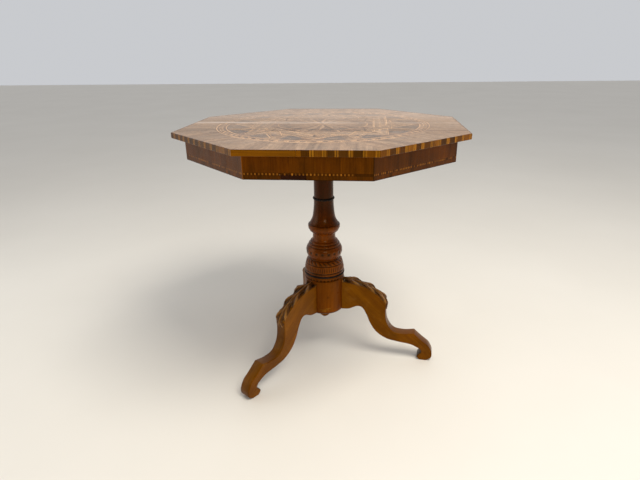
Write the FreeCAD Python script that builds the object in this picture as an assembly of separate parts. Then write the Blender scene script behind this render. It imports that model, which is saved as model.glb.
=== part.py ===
"""Octagonal tilt-top tripod table, in millimetres.

The origin is on the floor under the column, +Z is up and -Y is the side that the top faces when it is
tilted up. The top, with its apron and bearers, turns about two pins in a block on the head of the column.
A sprung brass catch under the back of the top holds it level.
"""
import FreeCAD, Part
import math
import os

V = FreeCAD.Vector

# Whole table
TABLE_HEIGHT = 720.0
TOP_ACROSS_FLATS = 744.0
SIDES = 8
HALF_SIDE_ANGLE = 180.0 / SIDES

# Top slab: core boards under marquetry veneer, with a banded edge
SLAB_THICKNESS = 14.0
VENEER = 1.2
EDGE_BAND = 2.5
TOP_HALF = TOP_ACROSS_FLATS / 2
CORE_HALF = TOP_HALF - EDGE_BAND
SLAB_UNDER = TABLE_HEIGHT - SLAB_THICKNESS
VENEER_UNDER = TABLE_HEIGHT - VENEER
CORE_JOINTS = [-CORE_HALF, -250.0, -100.0, 50.0, 210.0, CORE_HALF]
EDGE_REPAIR_END = -8.0

# Marquetry: an octagonal border round a ring, a field and a star
RING_OUTER = 290.0
RING_INNER = 258.0
BORDER_LEAF_DEPTH = 150.0
STAR_POINTS = 16
STAR_OUTER = 118.0
STAR_INNER = 66.0

# Apron
OVERHANG = 30.0
APRON_DEPTH = 57.0
APRON_BOARD = 16.0
APRON_HALF = TOP_HALF - OVERHANG
APRON_BOTTOM = SLAB_UNDER - APRON_DEPTH
APRON_INSIDE = APRON_HALF - VENEER - APRON_BOARD
LOST_VENEER_X = (-58.0, -2.0)
LOST_VENEER_HEIGHT = 10.0
LOST_VENEER_TEETH = 7
CORNER_BLOCK_LEG = 24.0
CORNER_BLOCK_HEIGHT = 45.0

# Pivot block, bearers and pins
PIVOT_DROP = 23.0
PIVOT_Y = -95.0
PIVOT_Z = SLAB_UNDER - PIVOT_DROP
BODY_GAP = 0.3
BLOCK_HALF_THICKNESS = PIVOT_DROP - BODY_GAP
BLOCK_TOP = PIVOT_Z + BLOCK_HALF_THICKNESS
BLOCK_BOTTOM = PIVOT_Z - BLOCK_HALF_THICKNESS
BLOCK_HALF_WIDTH = 95.0
BLOCK_BACK = 105.0
BEARER_GAP = 0.5
BEARER_WIDTH = 28.0
BEARER_HEIGHT = 40.0
BEARER_HALF_LENGTH = 300.0
BEARER_END_TAPER = 60.0
BEARER_END_HEIGHT = 22.0
BEARER_INNER = BLOCK_HALF_WIDTH + BEARER_GAP
BEARER_OUTER = BEARER_INNER + BEARER_WIDTH
PIN_RADIUS = 5.0
PIN_RUNNING_GAP = 0.06
PIN_IN_BLOCK = 40.0

# Wood screws
SCREW_RADIUS = 2.2
SCREW_HEAD_RADIUS = 4.4
SCREW_HEAD_HEIGHT = 2.6
SCREW_POINT = 5.0
SCREW_SLOT = (0.9, 1.0)
BEARER_SCREW_LENGTH = 36.0
BEARER_SCREW_POCKET = 12.0
BEARER_SCREW_POCKET_RADIUS = 5.2
BEARER_SCREW_Y = [-200.0, -40.0, 130.0]
SMALL_SCREW_SCALE = 0.5
CATCH_SCREW_LENGTH = 9.0
CATCH_SCREW_INSET = 4.5
KEEPER_SCREW_LENGTH = 12.0
KEEPER_SCREW_X = 10.0
KEEPER_SCREW_RISE = 3.6

# Spring catch
CATCH_PLATE_HALF = 22.0
CATCH_PLATE_Y = (110.0, 164.0)
CATCH_PLATE_THICKNESS = 2.0
COVER_WALL = 1.2
COVER_Y = (112.0, 161.0)
COVER_BOTTOM = SLAB_UNDER - 11.2
BOLT_HALF_WIDTH = 9.4
BOLT_Y = (99.5, 138.0)
BOLT_Z = (SLAB_UNDER - 9.6, SLAB_UNDER - 2.4)
BOLT_BEVEL = 5.0
BOLT_TRAVEL = 8.5
BOLT_SIDE_GAP = 0.4
KNOB_Y = 128.0
KNOB_STEM_RADIUS = 1.8
KNOB_RADIUS = 5.5
KNOB_HEIGHT = 6.0
KNOB_DROP = 6.5
SPRING_FOLDS = 6
SPRING_STRIP = 0.4
SPRING_HALF_HEIGHT = 2.6
SPRING_HALF_WIDTH = 4.0
KEEPER_HALF_WIDTH = 16.0
KEEPER_THICKNESS = 1.6
KEEPER_Z = (BLOCK_TOP - 22.0, BLOCK_TOP)
KEEPER_HOLE_HALF = 10.4
KEEPER_HOLE_Z = (BLOCK_TOP - 14.7, BLOCK_TOP - 1.7)
NOTCH_DEPTH = 9.0

# Column and its rings
SHAFT_RADIUS = 28.0
TENON_RADIUS = 22.0
COLUMN_FOOT = 281.5
COLUMN_SPIGOT_RADIUS = 20.0
COLUMN_SPIGOT_END = 205.0
UPPER_RING_Z = (506.5, 513.5)
UPPER_RING_SEAT = 28.4
WEDGE_WIDTH = 3.0
WEDGE_DEPTH = 26.0
WEDGE_POINT = 0.4

# Hub, pendant and legs
HUB_RADIUS = 60.0
HUB_BOTTOM = 153.0
HUB_TOP = 275.5
PENDANT_SPIGOT = (9.0, 190.0)
LEG_THICKNESS = 34.0
LEG_CROWN_THICKNESS = 30.0
LEG_ANGLES = {"leg_front_left": 234.0, "leg_front_right": 354.0, "leg_back": 114.0}
TAIL_ROOT = 14.0
TAIL_TIP = 20.0
TAIL_DEPTH = 14.0
TAIL_Z = (HUB_BOTTOM, 245.0)

# Turned outlines from the bottom up: radius, height, and the sagitta of the stretch to the next point,
# which is positive where the stretch swells out and negative where it is hollow.
COLUMN_OUTLINE = [
    (59.8, COLUMN_FOOT, 0), (59.8, 287.6, 0), (58.6, 288.7, 0), (59.6, 289.8, 0.5),
    (56.2, 309.8, 0), (54.6, 311.0, 0), (55.2, 312.2, 2.8), (46.2, 323.6, 0),
    (45.4, 324.4, 0), (45.4, 326.0, 1.9), (54.4, 348.0, 1.9), (48.6, 365.2, 0),
    (46.6, 366.3, 0), (47.0, 367.0, 1.6), (43.2, 373.0, 0), (41.8, 373.8, 0),
    (42.0, 374.6, 1.6), (37.6, 380.8, -0.9), (33.7, 391.0, -0.2), (34.2, 402.0, -0.8),
    (42.4, 411.6, 0), (42.2, 412.6, 2.6), (46.6, 431.2, 0), (44.4, 432.6, -1.1),
    (33.4, 454.3, -0.9), (28.9, 500.0, 0), (28.8, UPPER_RING_Z[0], 0),
    (UPPER_RING_SEAT, UPPER_RING_Z[0], 0), (UPPER_RING_SEAT, UPPER_RING_Z[1], 0),
    (28.2, UPPER_RING_Z[1], 0), (SHAFT_RADIUS, BLOCK_BOTTOM, 0),
]
HUB_OUTLINE = [
    (52.0, HUB_BOTTOM, 2.2), (HUB_RADIUS, 162.0, 0), (HUB_RADIUS, 262.5, 0), (56.8, 263.4, -0.8),
    (56.8, 268.4, 0), (58.6, 268.6, 1.6), (58.6, HUB_TOP, 0),
]
PENDANT_OUTLINE = [
    (3.0, 117.0, 1.2), (11.5, 121.5, 1.0), (16.0, 128.5, -0.6), (14.0, 134.5, 0),
    (18.5, 136.0, 2.4), (18.5, 141.0, -2.6), (33.0, 149.0, 0), (34.0, HUB_BOTTOM, 0),
]

# Leg outline as reach from the column's axis and height. The top runs from the hub down to the ground,
# and the under side runs back from the foot's scroll to the hub.
LEG_ROOT = 48.0
LEG_TOP = [(LEG_ROOT, 250.5), (88, 247), (118, 241), (143, 231), (161, 218.5), (179, 204), (195, 187)]
LEG_SHIN = [(195, 187), (193.5, 150), (200, 117), (220, 91), (250, 86), (283, 90.5)]
LEG_TOE = [(283, 90.5), (308, 68.5), (330, 50), (341, 26), (338.5, 9), (325, 0)]
FOOT_FLAT = [(325, 0), (304, 0)]
FOOT_NOTCH = [(304, 0), (296, 10), (302, 21), (308, 28), (302, 39)]
LEG_UNDER = [
    (302, 39), (276, 51), (234, 57), (199, 64.5), (168, 84), (147, 114), (134, 145), (120, 167),
    (106, 170), (80, 158.5), (LEG_ROOT, 155.5),
]
LEG_CROWN = [
    (LEG_ROOT, 262), (83, 258), (109, 251), (131, 243), (157, 233), (178, 216), (196, 196), (200, 178),
    (196, 160),
]


def box(x, y, z):
    """A box from three (low, high) pairs."""
    return Part.makeBox(x[1] - x[0], y[1] - y[0], z[1] - z[0], V(x[0], y[0], z[0]))


def prism(points, z_low, z_high):
    """A flat outline of (x, y) points, raised from z_low to z_high."""
    wire = Part.makePolygon([V(x, y, z_low) for x, y in points + points[:1]])
    return Part.Face(wire).extrude(V(0, 0, z_high - z_low))


def polar(radius, angle):
    """The (x, y) point at a radius and an angle in degrees."""
    return radius * math.cos(math.radians(angle)), radius * math.sin(math.radians(angle))


def octagon(half_flat):
    """The corners of an octagon with sides parallel to X and Y."""
    reach = half_flat / math.cos(math.radians(HALF_SIDE_ANGLE))
    return [polar(reach, HALF_SIDE_ANGLE * (2 * k + 1)) for k in range(SIDES)]


def side_angle(number):
    """The outward direction of a side. Side 1 is the front, and they count anticlockwise from above."""
    return -90.0 + 360.0 / SIDES * (number - 1)


def side_strip(number, outer_half, thickness, z_low, z_high):
    """One mitred strip round the octagon."""
    ends = [side_angle(number) - HALF_SIDE_ANGLE, side_angle(number) + HALF_SIDE_ANGLE]
    slope = math.cos(math.radians(HALF_SIDE_ANGLE))
    outer, inner = outer_half / slope, (outer_half - thickness) / slope
    corners = [polar(outer, ends[0]), polar(outer, ends[1]), polar(inner, ends[1]), polar(inner, ends[0])]
    return prism(corners, z_low, z_high)


def outline_edges(outline):
    """The edges of a turned outline in the XZ plane, straight or as arcs of the given sagitta."""
    edges = []
    for (r0, z0, swell), (r1, z1, _) in zip(outline, outline[1:]):
        start, end = V(r0, 0, z0), V(r1, 0, z1)
        if swell:
            along = end - start
            outward = V(along.z, 0, -along.x).normalize()
            edges.append(Part.Arc(start, (start + end) * 0.5 + outward * swell, end).toShape())
        else:
            edges.append(Part.makeLine(start, end))
    return edges


def turned(outline):
    """A solid turned about Z from an outline that runs upwards."""
    low, high = outline[0], outline[-1]
    edges = outline_edges(outline)
    edges.append(Part.makeLine(V(high[0], 0, high[1]), V(0, 0, high[1])))
    edges.append(Part.makeLine(V(0, 0, high[1]), V(0, 0, low[1])))
    edges.append(Part.makeLine(V(0, 0, low[1]), V(low[0], 0, low[1])))
    face = Part.Face(Part.Wire(Part.__sortEdges__(edges)))
    return face.revolve(V(0, 0, 0), V(0, 0, 1), 360)


def rod(radius, start, end):
    """A cylinder between two points."""
    start, end = V(*start), V(*end)
    return Part.makeCylinder(radius, (end - start).Length, start, end - start)


def wood_screw(head, direction, length, scale=1.0):
    """A countersunk screw: its head's face is at head, and it points along direction."""
    neck = SCREW_HEAD_HEIGHT * scale
    point = SCREW_POINT * scale
    shank = SCREW_RADIUS * scale
    outline = [(0, 0), (SCREW_HEAD_RADIUS * scale, 0), (shank, neck), (shank, length - point), (0, length)]
    wire = Part.makePolygon([V(r, 0, z) for r, z in outline + outline[:1]])
    return placed(Part.Face(wire).revolve(V(0, 0, 0), V(0, 0, 1), 360), head, direction)


def screw_slot(head, direction, scale=1.0):
    """The driver slot across a screw's head."""
    half = SCREW_HEAD_RADIUS * scale
    width, depth = SCREW_SLOT[0] * scale, SCREW_SLOT[1] * scale
    return placed(box((-half, half), (-width / 2, width / 2), (0, depth)), head, direction)


def placed(shape, origin, direction):
    """A shape made along +Z from the origin, moved to a point and turned to a direction."""
    turn = FreeCAD.Rotation(V(0, 0, 1), V(*direction))
    return shape.transformed(FreeCAD.Placement(V(*origin), turn).toMatrix())


def screws(heads, direction, length, scale=1.0):
    """Screws in one group, and the same shapes uncut, which are the holes they make."""
    solid = [wood_screw(head, direction, length, scale) for head in heads]
    slotted = [s.cut(screw_slot(head, direction, scale)) for s, head in zip(solid, heads)]
    return Part.makeCompound(slotted), Part.makeCompound(solid)


def bearer_screw_set():
    """Six long screws, up through the bearers into the core boards."""
    head_z = SLAB_UNDER - BEARER_HEIGHT + BEARER_SCREW_POCKET
    middle = (BEARER_INNER + BEARER_OUTER) / 2
    heads = [(side * middle, y, head_z) for side in (-1, 1) for y in BEARER_SCREW_Y]
    return screws(heads, (0, 0, 1), BEARER_SCREW_LENGTH)


def catch_screw_set():
    """Four small screws at the corners of the catch's plate."""
    rows = (CATCH_PLATE_Y[0] + CATCH_SCREW_INSET, CATCH_PLATE_Y[1] - CATCH_SCREW_INSET)
    heads = [(side * (CATCH_PLATE_HALF - CATCH_SCREW_INSET), y, SLAB_UNDER - CATCH_PLATE_THICKNESS)
             for side in (-1, 1) for y in rows]
    return screws(heads, (0, 0, 1), CATCH_SCREW_LENGTH, SMALL_SCREW_SCALE)


def keeper_screw_set():
    """Two small screws through the keeper into the back of the block."""
    z = KEEPER_Z[0] + KEEPER_SCREW_RISE
    heads = [(side * KEEPER_SCREW_X, BLOCK_BACK + KEEPER_THICKNESS, z) for side in (-1, 1)]
    return screws(heads, (0, -1, 0), KEEPER_SCREW_LENGTH, SMALL_SCREW_SCALE)


def core_boards(holes):
    """Boards glued edge to edge, with their grain along X."""
    slab = prism(octagon(CORE_HALF), SLAB_UNDER, VENEER_UNDER)
    boards = {}
    for k, (low, high) in enumerate(zip(CORE_JOINTS, CORE_JOINTS[1:]), 1):
        board = slab.common(box((-TOP_HALF, TOP_HALF), (low, high), (SLAB_UNDER, VENEER_UNDER)))
        boards[f"core_board_{k}"] = board.cut(holes)
    return boards


def star(points, outer, inner, z_low, z_high):
    """A flat star with its first point towards +X."""
    step = 180.0 / points
    corners = [polar(outer if k % 2 == 0 else inner, step * k) for k in range(2 * points)]
    return prism(corners, z_low, z_high)


def marquetry():
    """The veneers on the core: the border's eight mitred leaves, the ring, the field and the star."""
    def disc(radius):
        return Part.makeCylinder(radius, VENEER, V(0, 0, VENEER_UNDER))

    medallion = star(STAR_POINTS, STAR_OUTER, STAR_INNER, VENEER_UNDER, TABLE_HEIGHT)
    leaves = [side_strip(k, CORE_HALF, BORDER_LEAF_DEPTH, VENEER_UNDER, TABLE_HEIGHT).cut(disc(RING_OUTER))
              for k in range(1, SIDES + 1)]
    return {
        "border_veneer": Part.makeCompound(leaves),
        "inlay_ring": disc(RING_OUTER).cut(disc(RING_INNER)),
        "field_veneer": disc(RING_INNER).cut(medallion),
        "star_inlay": medallion,
    }


def edge_bands():
    """The banding round the slab. On the front side a plain strip replaces the left part of it."""
    bands = {f"edge_band_{k}": side_strip(k, TOP_HALF, EDGE_BAND, SLAB_UNDER, TABLE_HEIGHT)
             for k in range(1, SIDES + 1)}
    left = box((-TOP_HALF, EDGE_REPAIR_END), (-TOP_HALF, 0), (SLAB_UNDER, TABLE_HEIGHT))
    front = bands["edge_band_1"]
    bands["edge_repair"] = front.common(left)
    bands["edge_band_1"] = front.cut(left)
    return bands


def lost_veneer():
    """The piece of veneer missing from the front apron's lower edge, with a toothed upper side."""
    x_low, x_high = LOST_VENEER_X
    top = APRON_BOTTOM + LOST_VENEER_HEIGHT
    step = (x_high - x_low) / LOST_VENEER_TEETH
    points = [(x_low, APRON_BOTTOM - 1.0)]
    for k in range(LOST_VENEER_TEETH):
        points += [(x_low + step * k, top - 1.6), (x_low + step * (k + 0.5), top)]
    points += [(x_high, top - 1.6), (x_high, APRON_BOTTOM - 1.0)]
    wire = Part.makePolygon([V(x, -TOP_HALF, z) for x, z in points + points[:1]])
    return Part.Face(wire).extrude(V(0, TOP_HALF - APRON_HALF + VENEER, 0))


def apron():
    """Eight mitred boards, each with its veneer on the outside."""
    parts = {}
    for k in range(1, SIDES + 1):
        inner_half = APRON_HALF - VENEER
        parts[f"apron_board_{k}"] = side_strip(k, inner_half, APRON_BOARD, APRON_BOTTOM, SLAB_UNDER)
        parts[f"apron_veneer_{k}"] = side_strip(k, APRON_HALF, VENEER, APRON_BOTTOM, SLAB_UNDER)
    parts["apron_veneer_1"] = parts["apron_veneer_1"].cut(lost_veneer())
    return parts


def corner_blocks():
    """Glue blocks in the apron's inner corners."""
    blocks = []
    for k, corner in enumerate(octagon(APRON_INSIDE)):
        outward = HALF_SIDE_ANGLE * (2 * k + 1)
        points = [corner]
        for turn in (-1, 1):
            along = polar(CORNER_BLOCK_LEG, outward + turn * (90.0 + HALF_SIDE_ANGLE))
            points.append((corner[0] + along[0], corner[1] + along[1]))
        blocks.append(prism(points, SLAB_UNDER - CORNER_BLOCK_HEIGHT, SLAB_UNDER))
    return Part.makeCompound(blocks)


def bearer(side, screw_holes):
    """One bearer, with tapered ends, a hole for its pin and pockets for its screws."""
    under = SLAB_UNDER - BEARER_HEIGHT
    end_z = SLAB_UNDER - BEARER_END_HEIGHT
    flat = BEARER_HALF_LENGTH - BEARER_END_TAPER
    outline = [
        (-BEARER_HALF_LENGTH, SLAB_UNDER), (-BEARER_HALF_LENGTH, end_z), (-flat, under),
        (flat, under), (BEARER_HALF_LENGTH, end_z), (BEARER_HALF_LENGTH, SLAB_UNDER),
    ]
    x_low = BEARER_INNER if side > 0 else -BEARER_OUTER
    wire = Part.makePolygon([V(x_low, y, z) for y, z in outline + outline[:1]])
    bar = Part.Face(wire).extrude(V(BEARER_WIDTH, 0, 0))
    hole = PIN_RADIUS + PIN_RUNNING_GAP
    bar = bar.cut(rod(hole, (x_low - 1, PIVOT_Y, PIVOT_Z), (x_low + BEARER_WIDTH + 1, PIVOT_Y, PIVOT_Z)))
    for y in BEARER_SCREW_Y:
        x = x_low + BEARER_WIDTH / 2
        pocket = rod(BEARER_SCREW_POCKET_RADIUS, (x, y, under - 1), (x, y, under + BEARER_SCREW_POCKET))
        bar = bar.cut(pocket)
    return bar.cut(screw_holes)


def pivot_pins():
    """Two iron pins, tight in the block and free in the bearers."""
    inner, outer = BLOCK_HALF_WIDTH - PIN_IN_BLOCK, BEARER_OUTER
    pins = [rod(PIN_RADIUS, (side * inner, PIVOT_Y, PIVOT_Z), (side * outer, PIVOT_Y, PIVOT_Z))
            for side in (-1, 1)]
    return Part.makeCompound(pins)


def pivot_block(screw_holes):
    """The block on the column's head. Its upper front edge is rounded about the pivot, so that the top
    clears it, and its square lower front edge stops the top when it is upright."""
    front = PIVOT_Y - BLOCK_HALF_THICKNESS
    width = (-BLOCK_HALF_WIDTH, BLOCK_HALF_WIDTH)
    body = box(width, (PIVOT_Y, BLOCK_BACK), (BLOCK_BOTTOM, BLOCK_TOP))
    lower_front = box(width, (front, PIVOT_Y), (BLOCK_BOTTOM, PIVOT_Z))
    nose = rod(BLOCK_HALF_THICKNESS, (width[0], PIVOT_Y, PIVOT_Z), (width[1], PIVOT_Y, PIVOT_Z))
    block = body.fuse(lower_front).fuse(nose).removeSplitter()
    block = block.cut(rod(TENON_RADIUS, (0, 0, BLOCK_BOTTOM - 1), (0, 0, BLOCK_TOP + 1)))
    notch = box((-KEEPER_HOLE_HALF, KEEPER_HOLE_HALF), (BLOCK_BACK - NOTCH_DEPTH, BLOCK_BACK + 1),
                (KEEPER_HOLE_Z[0], BLOCK_TOP + 1))
    return block.cut(notch).cut(pivot_pins()).cut(screw_holes)


def keeper(screw_holes):
    """The strike plate on the back of the block, with a slot for the bolt just under its upper edge."""
    y = (BLOCK_BACK, BLOCK_BACK + KEEPER_THICKNESS)
    plate = box((-KEEPER_HALF_WIDTH, KEEPER_HALF_WIDTH), y, KEEPER_Z)
    slot = box((-KEEPER_HOLE_HALF, KEEPER_HOLE_HALF), (y[0] - 1, y[1] + 1), KEEPER_HOLE_Z)
    return plate.cut(slot).cut(screw_holes)


def catch_plate(screw_holes):
    """The catch's base plate, flat under the slab."""
    plate = box((-CATCH_PLATE_HALF, CATCH_PLATE_HALF), CATCH_PLATE_Y,
                (SLAB_UNDER - CATCH_PLATE_THICKNESS, SLAB_UNDER))
    return plate.cut(screw_holes)


def catch_cover():
    """A folded brass cover that guides the bolt, open towards the block and slotted for the knob."""
    inside = BOLT_HALF_WIDTH + BOLT_SIDE_GAP
    outside = inside + COVER_WALL
    roof = SLAB_UNDER - CATCH_PLATE_THICKNESS
    shell = box((-outside, outside), COVER_Y, (COVER_BOTTOM, roof))
    hollow = box((-inside, inside), (COVER_Y[0] - 1, COVER_Y[1] - COVER_WALL),
                 (COVER_BOTTOM + COVER_WALL, roof))
    half_slot = KNOB_STEM_RADIUS + BOLT_SIDE_GAP
    slot = box((-half_slot, half_slot), (KNOB_Y - half_slot, KNOB_Y + BOLT_TRAVEL + half_slot),
               (COVER_BOTTOM - 1, COVER_BOTTOM + COVER_WALL + 1))
    return shell.cut(hollow).cut(slot)


def catch_bolt():
    """The bolt. Its lower front edge is bevelled, so that it snaps past the keeper as the top comes down."""
    y_tip, y_end = BOLT_Y
    z_low, z_high = BOLT_Z
    outline = [(y_tip, z_high), (y_tip, z_low + BOLT_BEVEL), (y_tip + BOLT_BEVEL, z_low), (y_end, z_low),
               (y_end, z_high)]
    wire = Part.makePolygon([V(-BOLT_HALF_WIDTH, y, z) for y, z in outline + outline[:1]])
    bolt = Part.Face(wire).extrude(V(2 * BOLT_HALF_WIDTH, 0, 0))
    return bolt.cut(rod(KNOB_STEM_RADIUS, (0, KNOB_Y, z_low - 1), (0, KNOB_Y, z_low + 4)))


def catch_knob():
    """The finger knob under the bolt, on a stem that is riveted into it."""
    z_low = BOLT_Z[0]
    head_top = z_low - KNOB_DROP
    stem = rod(KNOB_STEM_RADIUS, (0, KNOB_Y, head_top - 1), (0, KNOB_Y, z_low + 4))
    head = Part.makeCylinder(KNOB_RADIUS, KNOB_HEIGHT, V(0, KNOB_Y, head_top - KNOB_HEIGHT))
    head = head.makeFillet(1.6, [e for e in head.Edges if isinstance(e.Curve, Part.Circle)])
    return head.fuse(stem)


def catch_spring():
    """A folded strip behind the bolt, in line with it."""
    y_low, y_high = BOLT_Y[1], COVER_Y[1] - COVER_WALL
    middle = (BOLT_Z[0] + BOLT_Z[1]) / 2
    step = (y_high - y_low) / SPRING_FOLDS
    fold = [(y_low + step * k, middle + (SPRING_HALF_HEIGHT if k % 2 else -SPRING_HALF_HEIGHT))
            for k in range(SPRING_FOLDS + 1)]
    front = [(y, z + SPRING_STRIP) for y, z in fold]
    back = [(y, z - SPRING_STRIP) for y, z in reversed(fold)]
    outline = front + back
    wire = Part.makePolygon([V(-SPRING_HALF_WIDTH, y, z) for y, z in outline + outline[:1]])
    return Part.Face(wire).extrude(V(2 * SPRING_HALF_WIDTH, 0, 0))


def wedge():
    """The wedge that spreads the tenon in the block, across the head of the column."""
    half, point_z = WEDGE_WIDTH / 2, BLOCK_TOP - WEDGE_DEPTH
    outline = [(-half, BLOCK_TOP), (half, BLOCK_TOP), (WEDGE_POINT, point_z), (-WEDGE_POINT, point_z)]
    wire = Part.makePolygon([V(x, -TENON_RADIUS, z) for x, z in outline + outline[:1]])
    plate = Part.Face(wire).extrude(V(0, 2 * TENON_RADIUS, 0))
    return plate.common(rod(TENON_RADIUS, (0, 0, BLOCK_BOTTOM), (0, 0, BLOCK_TOP)))


def column():
    """The turned column, with a spigot for the hub and a tenon for the block."""
    body = turned(COLUMN_OUTLINE)
    spigot = rod(COLUMN_SPIGOT_RADIUS, (0, 0, COLUMN_SPIGOT_END), (0, 0, COLUMN_FOOT))
    tenon = rod(TENON_RADIUS, (0, 0, BLOCK_BOTTOM), (0, 0, BLOCK_TOP))
    return body.fuse([spigot, tenon]).cut(wedge())


def upper_ring():
    """The black ring on the shaft."""
    low, high = UPPER_RING_Z
    ring = turned([(29.2, low, 2.6), (29.2, high, 0)])
    return ring.cut(rod(UPPER_RING_SEAT, (0, 0, low - 1), (0, 0, high + 1)))


def hub_ring():
    """The black ring between the column and the hub."""
    ring = turned([(60.0, HUB_TOP, 1.5), (60.0, COLUMN_FOOT, 0)])
    return ring.cut(rod(COLUMN_SPIGOT_RADIUS, (0, 0, HUB_TOP - 1), (0, 0, COLUMN_FOOT + 1)))


def leg_frame(angle):
    """Turns a shape made along +X to a leg's direction."""
    return FreeCAD.Placement(V(0, 0, 0), FreeCAD.Rotation(V(0, 0, 1), angle)).toMatrix()


def dovetail():
    """The tail on a leg's root, which slides up into the hub from below."""
    tip, root = HUB_RADIUS - TAIL_DEPTH, HUB_RADIUS + 1.0
    outline = [(tip, -TAIL_TIP / 2), (root, -TAIL_ROOT / 2), (root, TAIL_ROOT / 2), (tip, TAIL_TIP / 2)]
    return prism(outline, *TAIL_Z)


def hub():
    """The block that the legs are dovetailed into."""
    body = turned(HUB_OUTLINE)
    body = body.cut(rod(COLUMN_SPIGOT_RADIUS, (0, 0, COLUMN_SPIGOT_END), (0, 0, HUB_TOP + 1)))
    radius, top = PENDANT_SPIGOT
    body = body.cut(rod(radius, (0, 0, HUB_BOTTOM - 1), (0, 0, top)))
    for angle in LEG_ANGLES.values():
        body = body.cut(dovetail().transformed(leg_frame(angle)))
    return body


def pendant():
    """The turned drop under the hub."""
    radius, top = PENDANT_SPIGOT
    return turned(PENDANT_OUTLINE).fuse(rod(radius, (0, 0, HUB_BOTTOM), (0, 0, top)))


def curve(points):
    """A smooth edge through (reach, height) points."""
    spline = Part.BSplineCurve()
    spline.interpolate([V(s, 0, z) for s, z in points])
    return spline.toShape()


def straight(start, end):
    """A straight edge between two (reach, height) points."""
    return Part.makeLine(V(start[0], 0, start[1]), V(end[0], 0, end[1]))


def slab_from(edges, thickness):
    """A leg-shaped board from its edges, centred on the XZ plane."""
    face = Part.Face(Part.Wire(Part.__sortEdges__(edges)))
    board = face.extrude(V(0, thickness, 0))
    board.translate(V(0, -thickness / 2, 0))
    return board


def leg():
    """One leg along +X: a sawn board, the carved crown along its knee, and the dovetail at its root."""
    board = slab_from([
        curve(LEG_TOP), curve(LEG_SHIN), curve(LEG_TOE), straight(*FOOT_FLAT), curve(FOOT_NOTCH),
        curve(LEG_UNDER), straight(LEG_UNDER[-1], LEG_TOP[0]),
    ], LEG_THICKNESS)
    low = (LEG_ROOT, 200.0)
    crown = slab_from([curve(LEG_CROWN), straight(LEG_CROWN[-1], low), straight(low, LEG_CROWN[0])],
                      LEG_CROWN_THICKNESS)
    body = board.fuse(crown).cut(rod(HUB_RADIUS, (0, 0, HUB_BOTTOM - 20), (0, 0, HUB_TOP)))
    return body.fuse(dovetail()).removeSplitter()


def build():
    """Every node of the table, by name."""
    long_screws, long_holes = bearer_screw_set()
    catch_screws, catch_holes = catch_screw_set()
    keeper_screws, keeper_holes = keeper_screw_set()
    nodes = core_boards(Part.makeCompound([long_holes, catch_holes]))
    nodes.update(marquetry())
    nodes.update(edge_bands())
    nodes.update(apron())
    nodes.update({
        "corner_blocks": corner_blocks(),
        "bearer_left": bearer(-1, long_holes),
        "bearer_right": bearer(1, long_holes),
        "bearer_screws": long_screws,
        "catch_plate": catch_plate(catch_holes),
        "catch_cover": catch_cover(),
        "catch_screws": catch_screws,
        "catch_spring": catch_spring(),
        "catch_bolt": catch_bolt(),
        "catch_knob": catch_knob(),
        "pivot_block": pivot_block(keeper_holes),
        "pivot_pins": pivot_pins(),
        "keeper_plate": keeper(keeper_holes),
        "keeper_screws": keeper_screws,
        "tenon_wedge": wedge(),
        "column": column(),
        "upper_ring": upper_ring(),
        "hub_ring": hub_ring(),
        "hub": hub(),
        "pendant": pendant(),
    })
    for name, angle in LEG_ANGLES.items():
        nodes[name] = leg().transformed(leg_frame(angle))
    return nodes


os.makedirs("parts", exist_ok=True)
for name, shape in build().items():
    shape.exportStep(f"parts/{name}.step")
    box_now = shape.BoundBox
    print(f"{name:18s} solids {len(shape.Solids)} valid {shape.isValid()} "
          f"volume {shape.Volume / 1000:9.2f} cm3 z {box_now.ZMin:7.1f} to {box_now.ZMax:7.1f}")
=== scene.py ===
"""The looks of an octagonal tilt-top tripod table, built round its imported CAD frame.

Blender works in metres. Turned work, legs and the lengths of the edge's blocks are written in millimetres,
and MM turns them into metres. Every mesh built by Pieces carries two attributes for its wood: "tint", a
colour that varies from piece to piece, and "grain", a position whose X runs along the grain.
"""
import math
import random
import bmesh
import bpy
from mathutils import Matrix, Vector, noise


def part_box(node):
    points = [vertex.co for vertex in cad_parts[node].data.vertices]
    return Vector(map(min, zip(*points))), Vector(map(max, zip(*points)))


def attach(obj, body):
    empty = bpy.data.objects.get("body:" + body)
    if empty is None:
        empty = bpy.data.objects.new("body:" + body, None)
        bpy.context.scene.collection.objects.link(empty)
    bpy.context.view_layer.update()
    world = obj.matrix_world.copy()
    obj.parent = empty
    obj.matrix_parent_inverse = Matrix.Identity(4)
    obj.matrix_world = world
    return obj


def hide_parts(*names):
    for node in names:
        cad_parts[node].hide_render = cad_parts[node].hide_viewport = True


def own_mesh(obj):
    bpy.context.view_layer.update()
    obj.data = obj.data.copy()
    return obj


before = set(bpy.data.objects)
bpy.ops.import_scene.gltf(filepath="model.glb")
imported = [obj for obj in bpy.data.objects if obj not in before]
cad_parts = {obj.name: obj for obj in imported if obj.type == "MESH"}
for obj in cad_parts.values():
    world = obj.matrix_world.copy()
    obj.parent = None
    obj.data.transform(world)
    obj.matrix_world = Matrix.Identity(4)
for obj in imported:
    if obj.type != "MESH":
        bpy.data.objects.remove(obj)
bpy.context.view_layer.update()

MM = 0.001
SIDES = 8
HALF_ANGLE = math.pi / SIDES
SLOPE = math.tan(HALF_ANGLE)
UP = Vector((0, 0, 1))

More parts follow.
